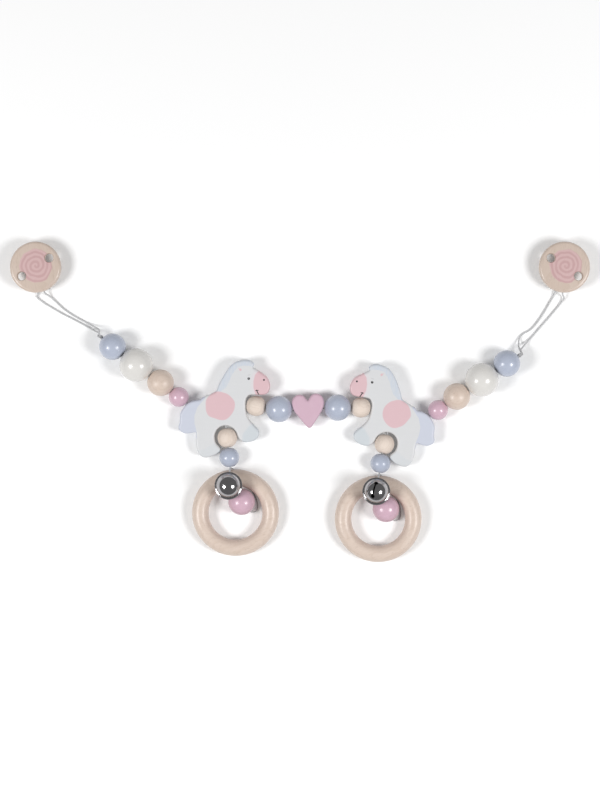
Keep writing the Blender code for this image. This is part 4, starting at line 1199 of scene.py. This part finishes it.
def beadProfile(kind):
    radius = beadLook["diameters"][kind] / 2 - beadLook["relief"].get(kind, beadLook["usualRelief"])
    power = beadLook["barrelPower"].get(kind, 1.0)
    bore = beadLook["bore"] / 2
    edge = beadLook["edgeRound"]
    rim = bore + beadLook["faceRim"]
    half = math.sqrt(radius ** 2 - rim ** 2)
    start = math.atan2(rim, half)
    steps = beadLook["steps"]
    outer = []
    for k in range(steps + 1):
        turn = start + (math.pi - 2 * start) * k / steps
        outer.append((radius * math.cos(turn), radius * math.sin(turn) ** power))
    mouth = arc(half - edge, bore + edge, edge, -90, 0, 5)
    far = [(-along, reach) for along, reach in reversed(mouth)]
    return mouth + outer + far + [mouth[0]]


def makeBeads():
    beads = [n for n in cadNodes if n.endswith("_bead")]
    for node in beads:
        kind = node.split("_", 1)[1].removesuffix("_bead")
        mesh = turnedMesh(camel(node), beadProfile(kind), finishes[slotOf[node]],
                          beadLook["segments"])
        storePlace(mesh, "grainPlace", shift=grainShift(node))
        finishPiece(node, mesh, placeOn(node, jointAxis(node)), angle=50)
    print("beads turned:", len(beads))


makeBeads()


# Boards: the heart and the two horses, sawn to an outline and rounded at their edges

def smoothOutline(points):
    count = len(points)
    steps = boardLook["outlineSteps"]
    found = []
    for k in range(count):
        near = [Vector(points[(k + n) % count]) for n in (-1, 0, 1, 2)]
        found += [curvePoint(*near, step / steps) for step in range(steps)]
    return found


# How far inside the outline each point is; outside, the distance is negative
def edgeDistance(points, outline):
    points = np.asarray(points, float)
    starts = np.asarray(outline, float)
    ends = np.roll(starts, -1, axis=0)
    lines = ends - starts
    best = np.full(len(points), 1e9)
    inside = np.zeros(len(points), bool)
    for start, end, line in zip(starts, ends, lines):
        reach = points - start
        share = np.clip(reach @ line / max(line @ line, 1e-18), 0, 1)
        away = np.hypot(*(reach - share[:, None] * line).T)
        best = np.minimum(best, away)
        crosses = (start[1] > points[:, 1]) != (end[1] > points[:, 1])
        rise = end[1] - start[1] if end[1] != start[1] else 1e-18
        meets = start[0] + (points[:, 1] - start[1]) * line[0] / rise
        inside ^= crosses & (points[:, 0] < meets)
    return np.where(inside, best, -best)


boardLook = {
    "outlineSteps": 4, "edgeRowsDeg": (20, 35, 50, 65, 80, 95),
    "gridInset": 1.25, "rowInset": 0.96,
}


def boardMesh(name, outline, shape):
    edgeRound, gridStep = shape["edgeRound"], shape["gridStep"]
    flat = [Vector((p[0], p[1])) for p in outline]
    count = len(flat)
    extra = []
    for k in range(count):
        along = (flat[(k + 1) % count] - flat[k - 1]).normalized()
        inward = Vector((-along.y, along.x))
        for turnDeg in boardLook["edgeRowsDeg"]:
            away = edgeRound * (1 - math.cos(math.radians(turnDeg)))
            extra.append((flat[k] + inward * away, away))
    low = [min(p[n] for p in flat) for n in (0, 1)]
    high = [max(p[n] for p in flat) for n in (0, 1)]
    gridX = np.arange(low[0], high[0], gridStep)
    gridY = np.arange(low[1], high[1], gridStep)
    grid = [(x + (gridStep / 2 if n % 2 else 0), y) for n, y in enumerate(gridY) for x in gridX]
    depth = edgeDistance(grid, flat)
    ringDepth = edgeDistance([tuple(p) for p, away in extra], flat)
    kept = [Vector(p) for p, d in zip(grid, depth) if d > edgeRound * boardLook["gridInset"]]
    kept += [p for (p, away), d in zip(extra, ringDepth) if d > away * boardLook["rowInset"]]
    edges = [(k, (k + 1) % count) for k in range(count)]
    found = geometry.delaunay_2d_cdt(flat + kept, edges, [], 1, 1e-7)
    points, faces = found[0], found[2]
    depths = np.maximum(edgeDistance([tuple(p) for p in points], flat), 0)
    onEdge = depths < 2e-6
    inset = np.clip(edgeRound - depths, 0, edgeRound)
    straight = shape["thickness"] / 2 - edgeRound
    height = straight + np.sqrt(edgeRound ** 2 - inset ** 2)
    height[onEdge] = straight
    board = bmesh.new()
    tops = [board.verts.new((p.x, p.y, h)) for p, h in zip(points, height)]
    feet = [board.verts.new((p.x, p.y, -h)) for p, h in zip(points, height)]
    for face in faces:
        board.faces.new([tops[k] for k in face])
        board.faces.new([feet[k] for k in reversed(face)])
    rim = [e for e in board.edges if e.is_boundary and e.verts[0].co.z > 0]
    twin = {top: foot for top, foot in zip(tops, feet)}
    for edge in rim:
        a, b = edge.verts
        board.faces.new((a, b, twin[b], twin[a]))
    bmesh.ops.recalc_face_normals(board, faces=board.faces)
    mesh = bpy.data.meshes.new(name)
    board.to_mesh(mesh)
    board.free()
    return mesh


heartShape = {
    "width": 0.0240,
    "height": 0.0252,
    "thickness": 0.010,
    "edgeRound": 0.0019,
    "gridStep": 0.0008,
    "boreRise": 0.0012,
    "boreReach": 0.016,
    "place": (0.0062, -0.00545),
    "boreHeight": 0.00915,
    "turnDeg": 4.0,
    "grainTurnDeg": 80,
    "half": [
        (0.000, 0.315), (0.040, 0.352), (0.090, 0.425), (0.165, 0.482), (0.260, 0.500),
        (0.355, 0.478), (0.440, 0.412), (0.488, 0.320), (0.500, 0.220), (0.478, 0.105),
        (0.418, -0.010), (0.335, -0.130), (0.240, -0.258), (0.150, -0.376), (0.080, -0.455),
        (0.032, -0.492), (0.000, -0.500),
    ],
}


def makeHeart():
    shape = heartShape
    half = [(x * shape["width"], y * shape["height"]) for x, y in shape["half"]]
    left = [(-x, y) for x, y in half[1:-1]]
    outline = smoothOutline([half[0]] + left + [half[-1]] + half[-2:0:-1])
    mesh = boardMesh("heart", outline, shape)
    bore = rodMesh("heartBore", -shape["boreReach"], shape["boreReach"], beadLook["bore"] / 2)
    bore.transform(Matrix.Translation((0, shape["boreRise"], 0)))
    mesh = cutMesh(mesh, [bore], finishes["heart_paint"])
    grain = Matrix.Rotation(math.radians(shape["grainTurnDeg"]), 3, "Z")
    storePlace(mesh, "grainPlace", turn=grain)
    axis = direction(shape["turnDeg"])
    middle = Vector((*shape["place"], shape["boreHeight"])) - up.cross(axis) * shape["boreRise"]
    finishPiece("heart", mesh, frameAt(middle, axis, up))
    print("heart sawn")


# Painted areas, in the same places as the marks; an area may have more than one outline
horseAreas = {
    "maneEdge": [[(5.6, 27.6), (2.0, 29.0), (-2.6, 29.2), (-6.4, 28.3), (-9.2, 25.0),
                  (-11.9, 20.6), (-13.2, 16.6), (-15.4, 12.6), (-18.8, 9.9), (-22.0, 8.2),
                  (-34.0, 14.0), (-22.0, 42.0), (8.0, 42.0), (7.0, 29.4)]],
    "tailEdge": [[(-30.5, 4.6), (-33.0, 1.6), (-36.5, -2.6), (-38.6, -9.0), (-38.4, -14.6),
                  (-36.8, -20.6), (-36.6, -26.0), (-60.0, -30.0), (-60.0, 12.0), (-33.0, 8.0)]],
    "hoofEdge": [[(-3.0, -32.0), (-2.2, -22.0), (2.2, -16.0), (8.0, -12.5), (18.0, -12.0),
                  (18.0, -32.0)],
                 [(-42.0, -46.0), (-42.0, -36.5), (-31.0, -34.0), (-24.0, -29.5),
                  (-14.0, -28.0), (-14.0, -46.0)]],
    "muzzleEdge": [[(8.6, 25.4), (6.1, 22.4), (5.0, 17.6), (5.1, 12.6), (6.6, 8.4), (7.4, 4.0),
                    (24.0, 4.0), (24.0, 30.0), (10.0, 29.0)]],
    "earEdge": [horseMarks["ear"]],
}


def makeHorses():
    shape = horseShape
    beyond = shape["boreOverrun"]
    radius = beadLook["bore"] / 2
    for side in sides:
        node = side + "_horse"
        points = [(x * shape["length"] - shape["mouthRelief"], y * shape["height"])
                  for x, y in reversed(shape["outline"])]
        mesh = boardMesh(camel(node), smoothOutline(points), shape)
        place, mouth, join = bellyBore(side)
        bore = rodMesh(camel(node) + "Bore", -shape["boreLength"] - beyond, beyond, radius)
        belly = rodMesh(camel(node) + "Belly", 0, (mouth - join).length + beyond, radius)
        belly.transform(frameAt(join, mouth - join, (0, 0, 1)))
        mesh = cutMesh(mesh, [bore, belly], finishes["horse_paint"])
        storePlace(mesh, "horsePlace", scale=1000)
        flat = [(v.co.x * 1000, v.co.y * 1000) for v in mesh.vertices]
        for name, areas in horseAreas.items():
            away = np.maximum.reduce([edgeDistance(flat, area) for area in areas])
            values = mesh.attributes.new(name, "FLOAT", "POINT").data
            values.foreach_set("value", away.astype(np.float32))
        finishPiece(node, mesh, place)
    print("horses sawn")


makeHeart()
makeHorses()


# Grasping rings

ringShape = {
    "diameter": 0.0648, "tube": 0.0123, "segments": 144, "tubeSteps": 44,
    "grainTurn": ((0, 0.94, 0.34), (0, -0.34, 0.94), (1, 0, 0)),
}


def makeRings():
    shape = ringShape
    tube = shape["tube"] / 2
    reach = shape["diameter"] / 2 - tube
    for side in sides:
        node = side + "_ring"
        mesh = turnedMesh(node, arc(0, reach, tube, 0, 360, shape["tubeSteps"]),
                          finishes["clear_wood"], shape["segments"])
        storePlace(mesh, "grainPlace", turn=Matrix(shape["grainTurn"]), shift=grainShift(node))
        finishPiece(node, mesh, placeOn(node, jointAxis(node), (0, 1, 0)), angle=60)
    print("rings turned")


makeRings()


# Jingle bells

bellShape = {
    "diameter": 0.0184, "wall": 0.0008, "rimDiameter": 0.0206, "rimThickness": 0.0007,
    "seamGap": 0.0003, "domeShare": 0.985, "fillet": (0.00005, 0.00012),
    "slotHole": 0.0030, "slotSpacing": 0.0108, "slotWidth": 0.0012,
    "slotTurnDeg": {"left": -140.0, "right": 77.0}, "slotLeanDeg": {"left": 135.0, "right": 13.5},
    "holeReach": (0.5, 1.3), "slitReach": (0.9, 0.8),
    "eyeWire": 0.0011, "eyeDiameter": 0.0046, "eyeSink": 0.0003, "pellet": 0.0052,
    "leanDeg": 8.0, "eyeHeight": 0.0134, "eyeReach": 0.0169, "eyeSideways": -0.0023,
    "steps": 22, "segments": 72, "rimSteps": 8, "wireSteps": 14, "eyeSegments": 40,
    "pelletSteps": 24, "pelletSegments": 32,
}


# One half of the bell, from the pole outside round the rim to the pole inside
def shellProfile(sign):
    shape = bellShape
    outer = shape["diameter"] / 2
    inner = outer - shape["wall"]
    middle = outer + (shape["eyeDiameter"] - shape["eyeWire"]) / 2 - shape["eyeSink"]
    seam = shape["seamGap"] / 2
    flange = seam + shape["rimThickness"]
    half = shape["rimThickness"] / 2
    rim = shape["rimDiameter"] / 2 - half
    steps = shape["steps"]

    def dome(radius, end, k):
        turn = end * k / steps
        return middle + sign * radius * math.cos(turn), radius * math.sin(turn)

    outerEnd = math.acos(flange / outer) * shape["domeShare"]
    innerEnd = math.acos(seam / inner)
    found = [dome(outer, outerEnd, k) for k in range(steps + 1)]
    found.append((middle + sign * (flange + shape["fillet"][0]), outer + shape["fillet"][1]))
    found += [(middle + sign * (seam + half + reach - rim), rim + along)
              for along, reach in arc(0, rim, half, 90, -90, shape["rimSteps"])]
    found += [dome(inner, innerEnd, k) for k in range(steps, -1, -1)]
    found[0] = (found[0][0], 0)
    found[-1] = (found[-1][0], 0)
    return found, middle


# A slit between two round holes, in the shell that the photo shows or hides
def cutSlot(mesh, middle, side, chrome):
    shape = bellShape
    aim = Matrix.Rotation(math.radians(shape["slotTurnDeg"][side]), 4, "X")
    tip = Matrix.Rotation(math.radians(shape["slotLeanDeg"][side]), 4, "Y")
    slot = Matrix.Translation((middle, 0, 0)) @ aim @ tip
    outer = shape["diameter"] / 2
    low, high = (outer * share for share in shape["holeReach"])
    cutters = []
    for away in (-shape["slotSpacing"] / 2, shape["slotSpacing"] / 2):
        hole = rodMesh("bellHole", low, high, shape["slotHole"] / 2)
        hole.transform(slot @ Matrix.Rotation(away / outer, 4, "Z"))
        cutters.append(hole)
    reach, length = (outer * share for share in shape["slitReach"])
    slit = bmesh.new()
    bmesh.ops.create_cube(slit, size=1)
    size = (length, shape["slotSpacing"], shape["slotWidth"])
    bmesh.ops.scale(slit, verts=slit.verts, vec=size)
    bmesh.ops.translate(slit, verts=slit.verts, vec=(reach, 0, 0))
    slitMesh = bpy.data.meshes.new("bellSlit")
    slit.to_mesh(slitMesh)
    slit.free()
    slitMesh.transform(slot)
    return cutMesh(mesh, cutters + [slitMesh], chrome)


def addEye(mesh, chrome):
    shape = bellShape
    wire = shape["eyeWire"] / 2
    profile = arc(0, shape["eyeDiameter"] / 2 - wire, wire, 0, 360, shape["wireSteps"])
    eye = turnedMesh("bellEye", profile, chrome, shape["eyeSegments"])
    eye.transform(Matrix.Rotation(math.radians(90), 4, "Y"))
    joined = bmesh.new()
    joined.from_mesh(mesh)
    joined.from_mesh(eye)
    joined.to_mesh(mesh)
    joined.free()


def makeBells():
    shape = bellShape
    chrome = finishes["bell_metal"]
    for side in sides:
        down = direction(loopDownDeg[side])
        across = up.cross(down)
        eye = Vector(splitPoint[side]) + down * shape["eyeReach"] + across * shape["eyeSideways"]
        eye.z = shape["eyeHeight"]
        lean = math.radians(shape["leanDeg"])
        place = frameAt(eye, up * math.cos(lean) - down * math.sin(lean), down)
        for part, sign in (("upper", 1), ("lower", -1)):
            node = f"{side}_bell_{part}_shell"
            profile, middle = shellProfile(sign)
            mesh = turnedMesh(camel(node), profile, chrome, shape["segments"])
            if (side == "right") == (part == "upper"):
                mesh = cutSlot(mesh, middle, side, chrome)
            if part == "lower":
                addEye(mesh, chrome)
            finishPiece(node, mesh, place, angle=42)
        node = side + "_bell_pellet"
        radius = shape["pellet"] / 2
        profile = arc(0, 0, radius, 180, 0, shape["pelletSteps"])
        profile[0], profile[-1] = (-radius, 0), (radius, 0)
        mesh = turnedMesh(camel(node), profile, chrome, shape["pelletSegments"])
        middle = middleOf(node, Matrix.Identity(4))
        finishPiece(node, mesh, Matrix.Translation(middle), angle=60)
    print("bells pressed")


makeBells()


# Clips: a wooden disc on a pressed steel back, a lever, a pad and a pin

clipShape = {
    "discDiameter": 0.0380, "discThickness": 0.0070, "discBottom": 0.0070, "edgeRound": 0.0021,
    "discSegments": 112, "discSteps": 8,
    "ventDiameter": 0.0066, "ventRadius": 0.0122, "ventFlare": 0.0005,
    "ventLineDeg": {"left": 113.5, "right": -113.5}, "ventOverrun": (0.002, 0.0001),
    "clipDeg": {"left": -80.0, "right": -100.0}, "metalRound": 0.00016,
    "pinHalf": 0.0074, "pinRadius": 0.0009, "pinRound": 0.0003, "pinSteps": 4,
}


def makeDisc(side):
    shape = clipShape
    node = side + "_clip_disc"
    wood = finishes["disc_wood"]
    high = shape["discThickness"]
    profile = roundedProfile(0, high, shape["discDiameter"] / 2, shape["edgeRound"],
                             shape["discSteps"])
    mesh = turnedMesh(camel(node), profile, wood, shape["discSegments"])
    upright = frameAt((0, 0, 0), up, (1, 0, 0))
    mesh.transform(upright)
    turn = math.radians(shape["ventLineDeg"][side])
    below, above = shape["ventOverrun"]
    cutters = []
    for reach in (shape["ventRadius"], -shape["ventRadius"]):
        vent = rodMesh("vent", -below, high + above, shape["ventDiameter"] / 2, 40,
                       shape["ventFlare"])
        spot = (reach * math.cos(turn), reach * math.sin(turn), 0)
        vent.transform(Matrix.Translation(spot) @ upright)
        cutters.append(vent)
    mesh = cutMesh(mesh, cutters, wood)
    storePlace(mesh, "discPlace")
    low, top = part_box(node)
    middle = Vector(((low.x + top.x) / 2, (low.y + top.y) / 2, shape["discBottom"]))
    finishPiece(node, mesh, frameAt(middle, direction(shape["clipDeg"][side]), up), angle=45)


# A pressed part keeps the frame's shape, with its sharp edges eased
def makePressed(node, width):
    mesh = cadNodes[node].data.copy()
    mesh.name = camel(node)
    shell = bmesh.new()
    shell.from_mesh(mesh)
    bmesh.ops.remove_doubles(shell, verts=shell.verts, dist=1e-6)
    bmesh.ops.dissolve_limit(shell, angle_limit=math.radians(1), verts=shell.verts,
                             edges=shell.edges)
    shell.to_mesh(mesh)
    shell.free()
    piece = linkObject(mesh.name + "Sharp", mesh)
    bevel = piece.modifiers.new("eased", "BEVEL")
    bevel.width = width
    bevel.segments = 2
    bevel.limit_method = "ANGLE"
    bevel.angle_limit = math.radians(40)
    made = plainMesh(piece, camel(node))
    made.materials.clear()
    made.materials.append(finishes[slotOf[node]])
    made.polygons.foreach_set("material_index", [0] * len(made.polygons))
    finishPiece(node, made, Matrix.Identity(4), angle=30)


def makeClips():
    shape = clipShape
    for side in sides:
        makeDisc(side)
        makePressed(side + "_clip_plate", shape["metalRound"])
        makePressed(side + "_clip_lever", shape["metalRound"])
        makePressed(side + "_clip_pad", shape["metalRound"] / 2)
        node = side + "_clip_pin"
        profile = roundedProfile(-shape["pinHalf"], shape["pinHalf"], shape["pinRadius"],
                                 shape["pinRound"], shape["pinSteps"])
        mesh = turnedMesh(camel(node), profile, finishes["clip_steel"], 32)
        finishPiece(node, mesh, placeOn(node, jointAxis(side + "_clip_lever")))
    print("clips made")


makeClips()


# Table and light

studioLook = {
    "tableSize": 6.0,
    "lamps": [
        ((-1.05, -0.28, 1.25), 0.60, 16.2),
        ((1.05, -0.28, 1.25), 0.60, 16.2),
    ],
    "skyStrength": 0.22,
    "tableGlow": 0.08,
}


def makeStudio():
    look, share = finishLook["paleTable"], effectShare["table"]
    half = studioLook["tableSize"] / 2
    mesh = bpy.data.meshes.new("table")
    mesh.from_pydata([(-half, -half, 0), (half, -half, 0), (half, half, 0), (-half, half, 0)],
                     [], [(0, 1, 2, 3)])
    table = linkObject("table", mesh)
    material, tree, shader = newFinish("paleTable", look["color"], Roughness=look["roughness"],
                                       Emission_Strength=studioLook["tableGlow"],
                                       Emission_Color=(1.0, 1.0, 1.0, 1.0))
    skin = useGroup(tree, paintGroup, {"Place": objectPlace(tree),
                                       "Cloud Size": share["cloudSize"]})
    color = tint(tree, look["color"], skin["Cloud"], share["cloud"], look["deep"])
    sendOut(tree, shader.inputs, {"Base Color": color})
    mesh.materials.append(material)
    for k, (spot, size, power) in enumerate(studioLook["lamps"]):
        data = bpy.data.lights.new(f"lamp{k}", "AREA")
        data.shape = "DISK"
        data.size = size
        data.energy = power
        lamp = linkObject(f"lamp{k}", data)
        lamp.location = spot
        lamp.rotation_euler = (-Vector(spot)).to_track_quat("-Z", "Y").to_euler()
    world = bpy.data.worlds.new("studio")
    world.use_nodes = True
    sky = world.node_tree.nodes["Background"]
    sky.inputs["Color"].default_value = (1.0, 1.0, 1.0, 1.0)
    sky.inputs["Strength"].default_value = studioLook["skyStrength"]
    bpy.context.scene.world = world
    bpy.context.scene.view_settings.view_transform = "Standard"


makeStudio()
print("studio set")

for mesh in [m for m in bpy.data.meshes if not m.users]:
    bpy.data.meshes.remove(mesh)
